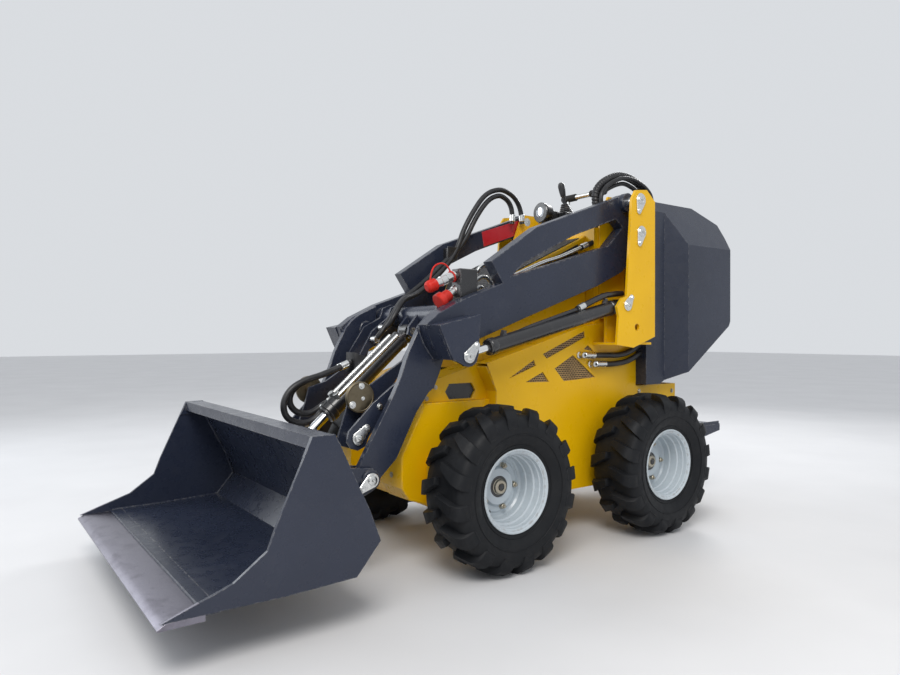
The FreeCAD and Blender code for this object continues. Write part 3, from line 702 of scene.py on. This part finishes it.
def pin_keeper(form, face, pin, bolt, radius):
    """On both sides a tear-shaped keeper plate on a face, with the pin's end and the plate's bolt."""
    aim = math.atan2(bolt[1] - pin[1], bolt[0] - pin[0])
    outline = []
    for (y, z), size, first, sweep in ((pin, radius + 9, aim + 1.2, 2 * math.pi - 2.4),
                                       (bolt, 13, aim - 1.5, 3.0)):
        for k in range(13):
            a = first + sweep * k / 12
            outline.append((y + size * math.cos(a), z + size * math.sin(a)))
    form.plates(outline, face, face + 6, chamfer=1.2)
    form.bolts(face + 6, [bolt], 14, 7)
    form.knobs(face + 5, pin, [(0, radius), (6, radius), (8, radius - 3), (8.2, radius - 9),
                               (6, radius - 10)], 28)
    form.knobs(face + 13, pin, [(0, 4), (3, 4), (3.5, 2.5), (8, 2)], 12)


def chassis_bolts():
    """Bolts of the covers, the pins' keeper plates and the weld lines of the posts."""
    form, keepers, welds = Form(), Form(), Form()
    for x, width, height, places in COVER_BOLTS:
        form.bolts(x, places, width, height)
    for x in (-190, 190):
        form.bolt((x, -721, 330), (0, -1, 0), 13, 5)
    form.finish("cover_bolts", "chassis", "zinc_steel", BOLT_STEEL)
    for pin, bolt, radius in ((ARM_PIVOT, (350, 1358), 20), ((368, 1270), (354, 1222), 18),
                              (LIFT_BASE, (301, 990), 15)):
        pin_keeper(keepers, POST_FACE, pin, bolt, radius)
    keepers.finish("post_keepers", "chassis", "zinc_steel")
    welds.weld((418, 451, 830), (418, 451, 1382), 4, 23)
    welds.weld((300.5, 216, 800), (300.5, 444, 800), 4, 19)
    welds.finish("post_welds", "chassis", "yellow_paint")




# Rear station. The tanks' stations from the front: (y, lower z, upper z).
TANK_STATIONS = [(461, 613, 1440), (498, 613, 1440), (500, 613, 1440), (600, 613, 1440),
                 (630, 628, 1440), (706, 666, 1440), (715, 671, 1440), (870, 773, 1440),
                 (1028, 877, 1370), (1039.5, 900, 1305)]
TANK_INSIDE = 190
TANK_FACE = 430
# The chamfer along the tank's upper outer edge: its height at the outer face, and rise over run.
TANK_CHAMFER = 1244
TANK_RISE = 1.97
TANK_CAP = (265, 560)


def tank_reach(y):
    """The tank's outer face at y: behind the panel, set in behind the post, then bevelled out."""
    if y < 500:
        return 290
    return 355 if y <= 630 else min(TANK_FACE, 355 + (y - 630) * 75 / 76)


def tanks():
    """Bevelled tanks with their screw caps."""
    for side, sign in SIDES:
        form, rings = Form(), []
        for y, low, top in TANK_STATIONS:
            reach = tank_reach(y)
            corner = max(min(TANK_CHAMFER + (TANK_FACE - reach) * TANK_RISE, top - 2), low + 2)
            inner = min(TANK_FACE - (top - TANK_CHAMFER) / TANK_RISE, reach - 1)
            section = ((TANK_INSIDE, low), (reach, low), (reach, corner), (inner, top),
                       (TANK_INSIDE, top))
            rings.append([(sign * x, y, z) for x, z in section])
        form.loft(rings)
        piece = form.finish("faceted_tank_" + side, "chassis", "slate_paint", angle=20)
        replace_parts(piece, "tank_" + side)
    trim = Form()
    for side, sign in SIDES:
        x, y = sign * TANK_CAP[0], TANK_CAP[1]
        trim.turned((x, y, 1439), UP, [(0, 42), (3, 42), (4, 36), (7, 36)], 32)
        trim.turned((x, y, 1446), UP, [(0, 40), (20, 40), (25, 35), (26, 20), (22, 16)], 16)
        for k in range(8):
            ridge_x, ridge_y = x + 38 * math.cos(math.pi * k / 4), y + 38 * math.sin(math.pi * k / 4)
            trim.block((ridge_x - 3, ridge_x + 3), (ridge_y - 4, ridge_y + 4), (1448, 1466), 1)
    trim.finish("tank_caps", "chassis", "black_paint")



STEP = [(786, 318), (1060, 318), (1206, 343), (1206, 378), (786, 378)]
STEP_HALF = 270


def step():
    """The operator's step with its edge bars and raised grips."""
    form, grip = Form(), Form()
    form.plate(STEP, -STEP_HALF, STEP_HALF, chamfer=3)
    for x in (-268, 262):
        form.block((x, x + 6), (790, 1200), (376, 392), 2)
    piece = form.finish("step_plate", "chassis", "slate_paint")
    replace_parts(piece, "step")
    for i in range(9):
        for k in range(7):
            y = 815 + 60 * k + 20 * (i % 2)
            if y < 1190:
                grip.turned((60 * i - 240, y, 377), UP,
                            [(0, 17), (2, 16), (6, 12), (7, 10.5), (7, 8.5), (1.2, 8)], 18)
    grip.finish("step_grip", "chassis", "slate_paint")



LAMP_Z = 1398
CONSOLE_TOP = 1338
HANDLE = (480, 1510)


def controls():
    """The lamp, the joystick, the handle with its grips and the console's face."""
    body, lens, stick, bar, grips, panel, screen = (Form() for _ in range(7))
    body.turned((0, 190, LAMP_Z), (0, 1, 0),
                [(0, 43), (3, 46), (14, 46), (18, 42), (50, 38), (60, 28)], 36)
    body.block((-20, 20), (245, 285), (1298, 1410), 2)
    body.block((-62, 62), (236, 300), (1298, 1330), 5)
    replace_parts(body.finish("lamp_housing", "chassis", "black_paint"), "lamp")
    lens.turned((0, 189.5, LAMP_Z), (0, -1, 0),
                [(-3, 25), (0, 25), (1.5, 22), (2.4, 12), (2.6, 1)], 32)
    lens.finish("lamp_lenses", "chassis", "chrome_rod", LENS)
    for k in range(6):
        stick.turned((30, 331 - 2 * k, 1400 + 8 * k), (0, -0.2, 1),
                     [(0, 34 - 3.2 * k), (3, 36 - 3.4 * k), (6, 33 - 3.4 * k), (8.5, 29 - 3.0 * k)], 24)
    stick.turned((30, 321, 1444), (0, -0.28, 1),
                 [(0, 8), (35, 8), (38, 12), (60, 15), (86, 16), (98, 13), (103, 6)], 24)
    stick.block((-12, 72), (288, 372), (1298, 1402), 4)
    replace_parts(stick.finish("joystick_lever", "chassis", "black_paint"), "joystick")
    y, z = HANDLE
    bar.bar((-130, y, z), (130, y, z), 12)
    for x in (-100, 100):
        bar.bar((x, y, CONSOLE_TOP), (x, y, z + 2), 8)
        bar.turned((x, y, CONSOLE_TOP), UP, [(0, 20), (6, 20), (8, 17)], 20)
    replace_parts(bar.finish("handle_frame", "chassis", "zinc_steel"), "handle_bar")
    for low in (-136, 48):
        grips.turned((low, y, z), (1, 0, 0), [(4 * k, 17.5 if k % 2 else 16) for k in range(23)], 24)
    grips.finish("handle_grips", "chassis", "pad_rubber")
    panel.block((-176, 176), (448, 632), (CONSOLE_TOP, CONSOLE_TOP + 14), 4)
    panel.block((-150, -40), (500, 590), (1350, 1366), 4)
    for x in range(-10, 131, 35):
        panel.block((x - 11, x + 11), (520, 556), (1350, 1362), 3)
    panel.turned((-120, 480, 1352), UP, [(0, 12), (5, 12), (6, 9), (10, 9), (11, 4)], 20)
    panel.finish("console_panel", "chassis", "black_paint")
    screen.block((-142, -48), (508, 582), (1365, 1367.5), 0.8)
    screen.finish("console_screen", "chassis", "chrome_rod", LENS)


PAD_FOOT = 704
PAD_HEIGHT = 392
PAD_FRONT = 655
PAD_HALF = 178
PAD_CHANNELS = 3


def pad():
    """The operator's thigh pad: a crowned cushion with sewn channels."""
    form, piping = Form(), Form()
    rows, columns = 40, 36
    rings = []
    for r in range(rows + 1):
        v = r / rows
        edge = 1 - abs(2 * v - 1) ** 6
        channel = min(1.0, abs(math.sin(PAD_CHANNELS * math.pi * v)) * 3.5)
        half = PAD_HALF * (0.965 + 0.035 * edge)
        front, back = [], []
        for c in range(columns + 1):
            u = c / columns
            crown = (1 - abs(2 * u - 1) ** 5) * edge
            bulge = 44 * max(crown, 0) ** 0.5 * (0.80 + 0.20 * channel)
            front.append((2 * half * u - half, PAD_FRONT + bulge, PAD_FOOT + PAD_HEIGHT * v))
            back.append((2 * half * u - half, 640 if 0 < c < columns else 648,
                         PAD_FOOT + PAD_HEIGHT * v))
        rings.append(front + back[::-1])
    form.loft(rings)
    piece = form.finish("thigh_cushion", "chassis", "pad_rubber", angle=70)
    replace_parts(piece, "thigh_pad")
    for seam in range(1, PAD_CHANNELS):
        piping.tube([(8.6 * k - 172, PAD_FRONT + 35 * max(1 - abs(k / 20 - 1) ** 5, 0) ** 0.5,
                      PAD_FOOT + PAD_HEIGHT * seam / PAD_CHANNELS) for k in range(41)], 1.6, 8)
    piping.finish("cushion_seams", "chassis", "pad_rubber")


chassis()
chassis_bolts()
tanks()
step()
controls()
pad()




# Lift arms: a windowed box beam on each side with a leg down to the bucket pin.
ARM = [(368, 1446), (309, 1422), (-150, 1256), (-382, 1107), (-328, 1028), (-500, 967), (-620, 910),
       (-675, 869), (-648, 798), (-610, 745), (-552, 779), (-222, 896), (193, 1039), (349, 1106),
       (408, 1160), (408, 1416)]
ARM_WINDOW = [(-288, 1054), (-28, 1126), (240, 1206), (262, 1211), (355, 1300), (310, 1333),
              (87, 1254), (42, 1237), (-138, 1151), (-217, 1116)]
LEG = [(-605, 917), (-635, 896), (-665, 864), (-715, 766), (-748, 677), (-776, 623), (-842, 510),
       (-913, 386), (-917, 350), (-900, 314), (-853, 310), (-834, 338), (-821, 352), (-762, 407),
       (-680, 561), (-628, 629), (-606, 643), (-580, 699), (-552, 779), (-520, 800), (-520, 957)]
LIFT_EAR = [(-679, 866), (-648, 798), (-622, 747), (-592, 735), (-574, 725), (-556, 722), (-538, 725),
            (-522, 738), (-512, 763), (-503, 905)]
EAR_FRONT = [(-679, 866), (-648, 798), (-622, 747), (-612, 750), (-638, 801), (-667, 858),
             (-503, 895), (-503, 905)]
KNEE_ENDS = [(-928, 473), (-912, 448), (-886, 439), (-856, 451), (-844, 481), (-730, 620),
             (-610, 775), (-486, 847), (-424, 863), (-407, 905), (-424, 947), (-466, 964),
             (-508, 947)]
# The knee plates: where their inner faces stand, and their fronts.
KNEES = [(232, [(-525, 905), (-600, 868), (-665, 770), (-698, 690), (-829, 596), (-919, 507)]),
         (165, [(-525, 905), (-600, 850), (-665, 740), (-810, 650), (-880, 630), (-896, 569),
                (-925, 487)])]
KNEE_FACE = 242
KNEE_DISC = (-860, 618)
CROSS_TUBE = (-466, 905)
RED_PLATE = [(80, 1334), (93, 1263), (298, 1335), (318, 1340), (318, 1412)]


def arms():
    """Box arms with legs and boss rings, the ears of the lift rods, the knees and a red cover."""
    ears, knees, red = Form(), Form(), Form()
    for side, sign in SIDES:
        form, out = Form(), (sign, 0, 0)
        form.plate(ARM, *sided(sign, ARM_INSIDE, ARM_FACE), windows=[ARM_WINDOW], chamfer=2)
        form.plate(LEG, *sided(sign, 268, ARM_INSIDE), chamfer=1.5)
        form.turned((sign * 258, *BUCKET_PIN), out, [(0, 30), (2, 32), (42, 32), (44, 30)], 36)
        form.turned((sign * ARM_FACE, *ARM_PIVOT), out, [(-2, 40), (24, 40), (26, 37)], 36)
        form.turned((sign * 268, -568, 858), (-sign, 0, 0),
                    [(-1, 34), (4, 34), (6, 31), (6.2, 17), (2, 16), (2, 1)], 32)
        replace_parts(form.finish("box_arm_" + side, "lift_arm", "slate_paint", angle=24), "arm_" + side)
    ears.plates(LIFT_EAR, 420, POST_FACE, chamfer=1.5)
    ears.plates(EAR_FRONT, ARM_FACE, 420, chamfer=0.6)
    for inner, front in KNEES:
        knees.plates(front + KNEE_ENDS, inner, inner + 10, chamfer=1.2)
    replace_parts(ears.finish("rod_ears", "lift_arm", "slate_paint"), "lift_ears")
    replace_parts(knees.finish("knee_brackets", "lift_arm", "slate_paint"), "knee_plates")
    red.plate(RED_PLATE, -ARM_INSIDE, 3 - ARM_INSIDE, chamfer=0.6)
    red.finish("red_cover", "lift_arm", "yellow_paint", RED_PAINT)


def arm_fittings():
    """The arms' pins with their keepers, the knees' bolts and discs, and the welds."""
    pins, discs, welds = Form(), Form(), Form()
    pin_keeper(pins, POST_FACE, ROD_PIN, (-524, 797), 15)
    pins.bars(ARM_FACE, 360, ROD_PIN, 15)
    pins.bars(410, POST_FACE, ROD_PIN, 15)
    pins.bars(157, 250, KNEE_PIN, 14)
    pin_keeper(pins, KNEE_FACE, KNEE_PIN, (-853, 515), 14)
    pins.bolts(KNEE_FACE, [(-800, 585)], 15, 8)
    pins.bolts(KNEE_FACE, [(-570, 850), (-530, 895), (-450, 900)], 13, 6)
    discs.knobs(175, KNEE_DISC, [(0, 22), (24, 22), (25, 52), (27, 54), (37, 54), (40, 51), (40, 48),
                                 (38.5, 46), (38.5, 1)], 48)
    for y, z, width in ((4, 38, 14), (-31, -25, 16), (9, -5, 9)):
        pins.bolts(213.5, [(KNEE_DISC[0] + y, KNEE_DISC[1] + z)], width, width * 0.45)
    pins.finish("arm_pins", "lift_arm", "zinc_steel")
    discs.finish("knee_hubs", "lift_arm", "engine_iron", OXIDE_STEEL)
    for start, end in zip(ARM_WINDOW, ARM_WINDOW[1:] + ARM_WINDOW[:1]):
        welds.weld((343, *start), (343, *end), 2.5, 6, 6)
    for side, sign in SIDES:
        welds.tube(at(sign * 293, [(-679, 860), (-650, 798), (-612, 748)]), 4, 8)
        welds.tube(at(sign * 346, [(-672, 862), (-590, 880), (-507, 897)]), 4, 8)
        for x in (KNEE_FACE, 291):
            welds.ring((sign * x, *CROSS_TUBE), (1, 0, 0), 47, 4, 36, 6)
    welds.finish("arm_welds", "lift_arm", "slate_paint")


def ferrules(form, route, far=True, length=36):
    """Crimped fittings with hexagon nuts at the ends of a hose."""
    ends = [(route[0], route[1]), (route[-1], route[-2])]
    for spot, ahead in ends if far else ends[:1]:
        axis = Vector(ahead) - Vector(spot)
        form.turned(spot, axis, [(0, 12), (11, 12)], 6)
        form.turned(Vector(spot) + axis.normalized() * 10, axis,
                    [(0, 10), (4, 14.5), (length - 2, 14.5), (length, 13.2)], 20)


# The steel pipe on top of each lift barrel, and the hose that goes on from it.
LIFT_PIPE = [(-343, 811), (-338, 834), (-20, 923), (26, 936)]
LIFT_HOSE = [(26, 936), (62, 950), (133, 978), (210, 1004), (300, 1010)]


def cylinder_trim():
    """Gland nuts, rod wipers, feed pipes and ports of the cylinders."""
    for side, sign in SIDES:
        x = sign * CYLINDER_X
        base, rod = Vector((x, *LIFT_BASE)), Vector((x, *ROD_PIN))
        axis = (rod - base).normalized()
        form, sleeve, eye = Form(), Form(), Form()
        form.turned(base + axis * 700, axis, [(0, 29.6), (4, 32), (24, 32), (28, 29), (34, 29),
                                             (36, 22), (40, 18)], 32)
        form.turned(base + axis * 46, axis, [(0, 29.5), (3, 32), (12, 32), (15, 29.5)], 32)
        for distance in (90, 660):
            form.turned(base + axis * distance + Vector((0, 0, 22)), (0, 0.25, 1),
                        [(0, 13), (14, 13), (16, 11), (24, 11)], 6)
        form.tube(spline(at(x, LIFT_PIPE)), 8, 12)
        form.tube(spline(at(x, LIFT_HOSE), 10), 11, 16, ridge=1.8, pitch=12)
        ferrules(sleeve, at(x, LIFT_HOSE), far=False)
        sleeve.finish("lift_sleeve_" + side, "lift_barrel_" + side, "zinc_steel")
        form.finish("lift_fittings_" + side, "lift_barrel_" + side, "black_paint")
        eye.turned(rod - axis * 46, axis, [(0, 15.4), (3, 20), (18, 20), (22, 24)], 28)
        eye.finish("lift_rod_collar_" + side, "lift_rod_" + side, "black_paint")
    start = Vector((0, *TILT_BASE))
    axis = (Vector((0, *TILT_PIN)) - start).normalized()
    upright = Vector((0, axis.z, -axis.y))
    form, pipes = Form(), Form()
    form.turned(start + axis * 438, axis,
                [(0, 35.6), (4, 39), (26, 39), (30, 35), (37, 34), (40, 24)], 32)
    form.turned(start + axis * 46, axis, [(0, 35.5), (3, 38), (14, 38), (17, 35.5)], 32)
    for x in (-28, 28):
        pipes.tube(spline([start + axis * along + upright * 30 + Vector((x, 0, 0))
                           for along in (62, 90, 250, 400)]), 8, 12)
        pipes.turned(start + axis * 400 + upright * 24 + Vector((x * 0.8, 0, 0)), upright,
                     [(0, 13), (18, 13), (20, 10)], 6)
    form.finish("tilt_fittings", "tilt_barrel", "black_paint")
    pipes.finish("tilt_pipes", "tilt_barrel", "zinc_steel")


# Quick couplers on the left arm, their blocks and the pipes behind them.
COUPLER_X = 250
COUPLERS = (((-477, 1058), (-584, 1014), False), ((-423, 1035), (-533, 968), True))
COUPLER = [(0, 15), (20, 15), (21, 18), (40, 18), (41, 15.5), (62, 15.5), (64, 19), (88, 19),
           (90, 16), (112, 16), (114, 14)]
COUPLER_PIPES = [
    [(-406, 1062), (-388, 1062), (-350, 1108), (-303, 1093), (-262, 1040), (-250, 1000)],
    [(-406, 1035), (-390, 1035), (-352, 1060), (-318, 1052), (-298, 1010), (-290, 970)],
    [(-406, 1005), (-385, 1005), (-353, 1022), (-330, 985), (-330, 945)]]
WINDOW_PIPE = [(-250, 1048), (-98, 1108), (-31, 1134), (44, 1154), (115, 1181), (178, 1206)]


def couplers():
    """Two couplers with red caps, one of them larger, on loops of red cord."""
    block, silver, red = Form(), Form(), Form()
    block.block((235, 292), (-486, -406), (973, 1079), 3)
    block.block((-292, -262.3), (-150, -120), (1180, 1235), 3)
    block.block((-240, -236), (-163, -107), (1178, 1240), 1)
    block.finish("manifold_blocks", "lift_arm", "black_paint")
    for start, end, large in COUPLERS:
        start, end = Vector((COUPLER_X, *start)), Vector((COUPLER_X, *end))
        axis = (end - start).normalized()
        silver.turned(start - axis * 12, axis, COUPLER, 24)
        silver.turned(start + axis * 28, axis, [(0, 20), (22, 20)], 6)
        red.turned(start + axis * 100, axis, [(0, 20), (3, 22.5), (30, 22.5), (38, 20), (44, 12)], 24)
        if large:
            red.turned(start + axis * 132, axis, [(0, 20), (3, 31), (24, 31), (27, 27), (28, 1)], 28)
        for k in range(12):
            red.ring(start + axis * (106 + 2 * k), axis, 22.3, 0.8, 24, 6)
        away = Vector((0, -axis.z, axis.y)) * (1 if large else -1)
        red.tube(spline([start + axis * along + away * off for along, off in
                         ((118, 20), (96, 60), (50, 66), (22, 44), (20, 18))]), 3.2, 8)
        red.ring(start + axis * 20, axis, 20, 3, 28, 8)
    for places in COUPLER_PIPES:
        points = at(COUPLER_X, places) + [(ARM_INSIDE, *places[-1])]
        silver.tube(spline(points), 8, 14)
        for spot, ahead in ((points[0], (0, 1, 0)), (points[-1], (-1, 0, 0))):
            silver.turned(spot, ahead, [(0, 13), (14, 13), (15, 10), (22, 10)], 6)
    silver.tube(spline(at(262, WINDOW_PIPE)), 9, 14)
    silver.finish("coupler_bodies", "lift_arm", "zinc_steel")
    red.finish("coupler_caps", "lift_arm", "pad_rubber", RED_RUBBER)



# Hoses: the points of each route.
LOOP_HOSES = [
    [(-250, 239, 1382), (-250, 243, 1440), (-250, 222, 1486), (-250, 187, 1508), (-250, 149, 1514),
     (-250, 84, 1483), (-250, 12, 1393), (-250, -42, 1295), (-248, -107, 1215), (-244, -186, 1160),
     (-238, -272, 1085), (-222, -361, 1025), (-185, -445, 982), (-122, -530, 912), (-112, -585, 845),
     (-130, -602, 815), (-165, -602, 815)],
    [(-250, 305, 1388), (-250, 302, 1450), (-250, 262, 1512), (-250, 205, 1539), (-250, 149, 1543),
     (-250, 66, 1509), (-250, -10, 1411), (-250, -65, 1320), (-247, -95, 1245), (-240, -140, 1180),
     (-228, -217, 1110), (-200, -300, 1050), (-160, -400, 1000), (-115, -480, 985), (-84, -540, 915),
     (-95, -560, 872), (-130, -565, 862), (-165, -565, 862)],
    at(262, [(176, 1205), (225, 1225), (276, 1242), (325, 1256), (372, 1252)])]
SIDE_HOSES = [
    at(322, [(126, 749), (187, 748), (281, 747), (366, 745), (440, 762), (503, 792)]),
    at(322, [(193, 710), (256, 709), (307, 707), (399, 714), (455, 732), (503, 752)])]
TILT_HOSES = [
    at(-62, [(-752, 728), (-854, 686), (-937, 668), (-1000, 637), (-1030, 585), (-1018, 530),
             (-967, 506), (-910, 510), (-862, 560)]) + [(-35.3, -862, 560)],
    at(-90, [(-750, 722), (-854, 682), (-940, 660), (-988, 622), (-993, 575), (-960, 541),
             (-905, 534), (-835, 583)]) + [(-35.3, -835, 583)]]
# Where the tilt hoses leave the machine.
TILT_BLOCK = [(-749, 766), (-681, 743), (-705, 680), (-751, 690)]
ARCH = [(340, 1300), (340, 1420), (333, 1471), (366, 1513), (420, 1545), (489, 1571), (573, 1570),
        (646, 1545), (695, 1505), (695, 1440)]
ARCH_X = 205


def hoses():
    """The hoses with their fittings, and the bundle that arches over the console."""
    for name, body, routes in (("arm_hoses", "lift_arm", LOOP_HOSES),
                               ("flank_hoses", "chassis", SIDE_HOSES),
                               ("bucket_hoses", "tilt_barrel", TILT_HOSES)):
        form, ends = Form(), Form()
        flank = routes is SIDE_HOSES
        for route in routes:
            form.tube(spline(route, 10), 12, 16)
            ferrules(ends, route, not flank, 64 if flank else 36)
            if flank:
                ends.turned((PANEL_FACE - 1, *route[0][1:]), (1, 0, 0),
                            [(0, 15), (10, 15), (12, 11), (34, 11)], 16)
        if routes is TILT_HOSES:
            form.plate(TILT_BLOCK, -108, -36.3, chamfer=2)
        form.finish(name, body, "pad_rubber", HOSE_RUBBER, angle=60)
        ends.finish(name + "_ends", body, "zinc_steel")
    bundle = Form()
    bundle.tube(spline(at(ARCH_X, ARCH), 24), 15, 18, ridge=3.2, pitch=15)
    inner = [(y + (18 if y < 500 else -16), z - 34) for y, z in ARCH[:-1]] + [(679, 1440)]
    bundle.tube(spline(at(ARCH_X, inner), 16), 10, 12)
    beside = [(y + 6, z - 14) for y, z in ARCH[:-1] + [(695, 1456)]]
    bundle.tube(spline([(232, y, z) for y, z in beside], 16), 10, 12)
    bundle.finish("arch_bundle", "chassis", "pad_rubber", HOSE_RUBBER, angle=50)



arms()
arm_fittings()
cylinder_trim()
couplers()
hoses()


# Bucket: the top bar, the edge with its weld, and the plate that takes the arms' pins.
ATTACH = [(-1018, 247), (-1008, 247), (-1044, 345), (-1132, 508), (-1144, 508), (-1054, 340)]
BUCKET_LUG = [(-1012, 262), (-940, 282), (-865, 312), (-837, 350), (-865, 388), (-1010, 405),
              (-1046, 348)]
TILT_EAR = [(-1060, 360), (-1000, 430), (-940, 450), (-940, 495), (-1112, 500)]
BUCKET_HALF = 613.5
BUCKET_INSIDE = 603.5
BAR_END = [(-1223, 560), (-1156, 561), (-1130, 508), (-1246, 508)]
EDGE = [(-1616, 136), (-1616, 140), (-1596, 152), (-1504, 152), (-1504, 136)]
EDGE_CORNER = [(-1610, 152), (-1520, 184), (-1500, 176), (-1504, 152)]
# The seam where the bucket's cheek meets its shell.
CHEEK_SEAM = [(-1500, 158), (-1303, 159), (-1098, 167), (-1030, 248), (-1062, 337), (-1160, 525)]


def attachment_front(z):
    """The y of the attachment plate's front face at height z."""
    return -1008 - (z - 247) * 36 / 98 if z < 345 else -1044 - (z - 345) * 88 / 163


def bucket():
    """The plate and pins that take the arms, and the bucket's bar, edge, floor strip and welds."""
    attach, pins, bar, edge, floor, welds = (Form() for _ in range(6))
    attach.plate(ATTACH, -380, 380, chamfer=1.5)
    attach.plates(BUCKET_LUG, 297, 309, chamfer=1.5)
    attach.plates(BUCKET_LUG, 244, 256, chamfer=1.5)
    attach.plates(TILT_EAR, 28, 40, chamfer=1.5)
    attach.knobs(309, BUCKET_PIN, [(-1, 34), (6, 34), (8, 31)], 32)
    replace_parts(attach.finish("attachment_plate", "bucket", "slate_paint"), "quick_attach")
    pins.bars(240, 322, BUCKET_PIN, 16)
    pin_keeper(pins, 317, BUCKET_PIN, (-912, 325), 16)
    pins.bars(20, 48, TILT_PIN, 14)
    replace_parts(pins.finish("attachment_pins", "bucket", "zinc_steel"), "bucket_pins")
    bar.block((-BUCKET_INSIDE, BUCKET_INSIDE), (-1224, -1158), (525, 560), 4)
    bar.plates(BAR_END, 598, BUCKET_INSIDE, chamfer=0.6)
    bar.finish("bucket_bar", "bucket", "slate_paint")
    edge.plate(EDGE, -BUCKET_HALF, BUCKET_HALF, chamfer=0.4)
    edge.plates(EDGE_CORNER, 604, 613.4, chamfer=1)
    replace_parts(edge.finish("wear_edge", "bucket", "worn_steel", WORN_EDGE), "cutting_edge")
    floor.block((-BUCKET_INSIDE, BUCKET_INSIDE), (-1504, -1466), (146, 157.5), 0.5)
    floor.finish("edge_floor", "bucket", "slate_paint")
    welds.tube([(12 * k - 600, -1503, 153) for k in range(101)], 5, 8)
    for start, end in zip(CHEEK_SEAM, CHEEK_SEAM[1:]):
        welds.weld((602, *start), (602, *end), 4.5, 10)
    for side, sign in SIDES:
        for x, low, high in ((303, 268, 400), (34, 362, 498)):
            heights = [low + (high - low) * k / 12 for k in range(13)]
            welds.tube([(sign * x, attachment_front(z), z) for z in heights], 4, 6)
    welds.finish("bucket_welds", "bucket", "slate_paint")



bucket()


def floor_and_backdrop():
    """A pale floor under the machine."""
    material, tree, shader = new_material("studio_floor")
    tone = ramp(tree, noise(tree, 1.5, 3.0), 0.3, 0.7)
    link(tree, mix_colours(tree, tone, (0.70, 0.70, 0.71), (0.66, 0.66, 0.67)), shader.inputs["Base Color"])
    shader.inputs["Roughness"].default_value = 0.7
    reach = 30.0
    mesh = bpy.data.meshes.new("studio_floor")
    mesh.from_pydata([(-reach, -reach, 0), (reach, -reach, 0), (reach, reach, 0), (-reach, reach, 0)],
                     [], [(0, 1, 2, 3)])
    floor = bpy.data.objects.new("studio_floor", mesh)
    show(floor)
    mesh.materials.append(material)


def lamp(name, place, aim, size, power, colour=(1, 1, 1)):
    """A round studio lamp that points at a place."""
    data = bpy.data.lights.new(name, "AREA")
    data.shape = "DISK"
    data.size = size
    data.energy = power
    data.color = colour
    thing = bpy.data.objects.new(name, data)
    thing.location = place
    thing.rotation_euler = (Vector(aim) - Vector(place)).to_track_quat("-Z", "Y").to_euler()
    show(thing)


def lights():
    """A pale sky and three lamps."""
    world = bpy.context.scene.world or bpy.data.worlds.new("studio")
    bpy.context.scene.world = world
    world.use_nodes = True
    background = world.node_tree.nodes["Background"]
    background.inputs["Color"].default_value = (0.93, 0.96, 1.0, 1)
    background.inputs["Strength"].default_value = 0.75
    lamp("key", (3.0, -2.5, 4.2), (0, 0, 0.6), 2.5, 160, (1.0, 0.97, 0.93))
    lamp("fill", (-3.5, -3.0, 2.8), (0, 0, 0.6), 3.0, 60, (0.92, 0.96, 1.0))
    lamp("rim", (-1.5, 4.0, 3.6), (0, 0, 0.8), 2.0, 90)


def camera():
    """The photograph's camera."""
    heading = Vector((*CAMERA_HEADING, math.tan(CAMERA_PITCH))).normalized()
    data = bpy.data.cameras.new("camera")
    data.sensor_width = SENSOR_WIDTH
    data.lens = CAMERA_LENS
    thing = bpy.data.objects.new("camera", data)
    thing.location = CAMERA_PLACE
    thing.rotation_euler = heading.to_track_quat("-Z", "Y").to_euler()
    show(thing)
    bpy.context.scene.camera = thing


floor_and_backdrop()
lights()
camera()
bpy.context.scene.view_settings.view_transform = "Standard"
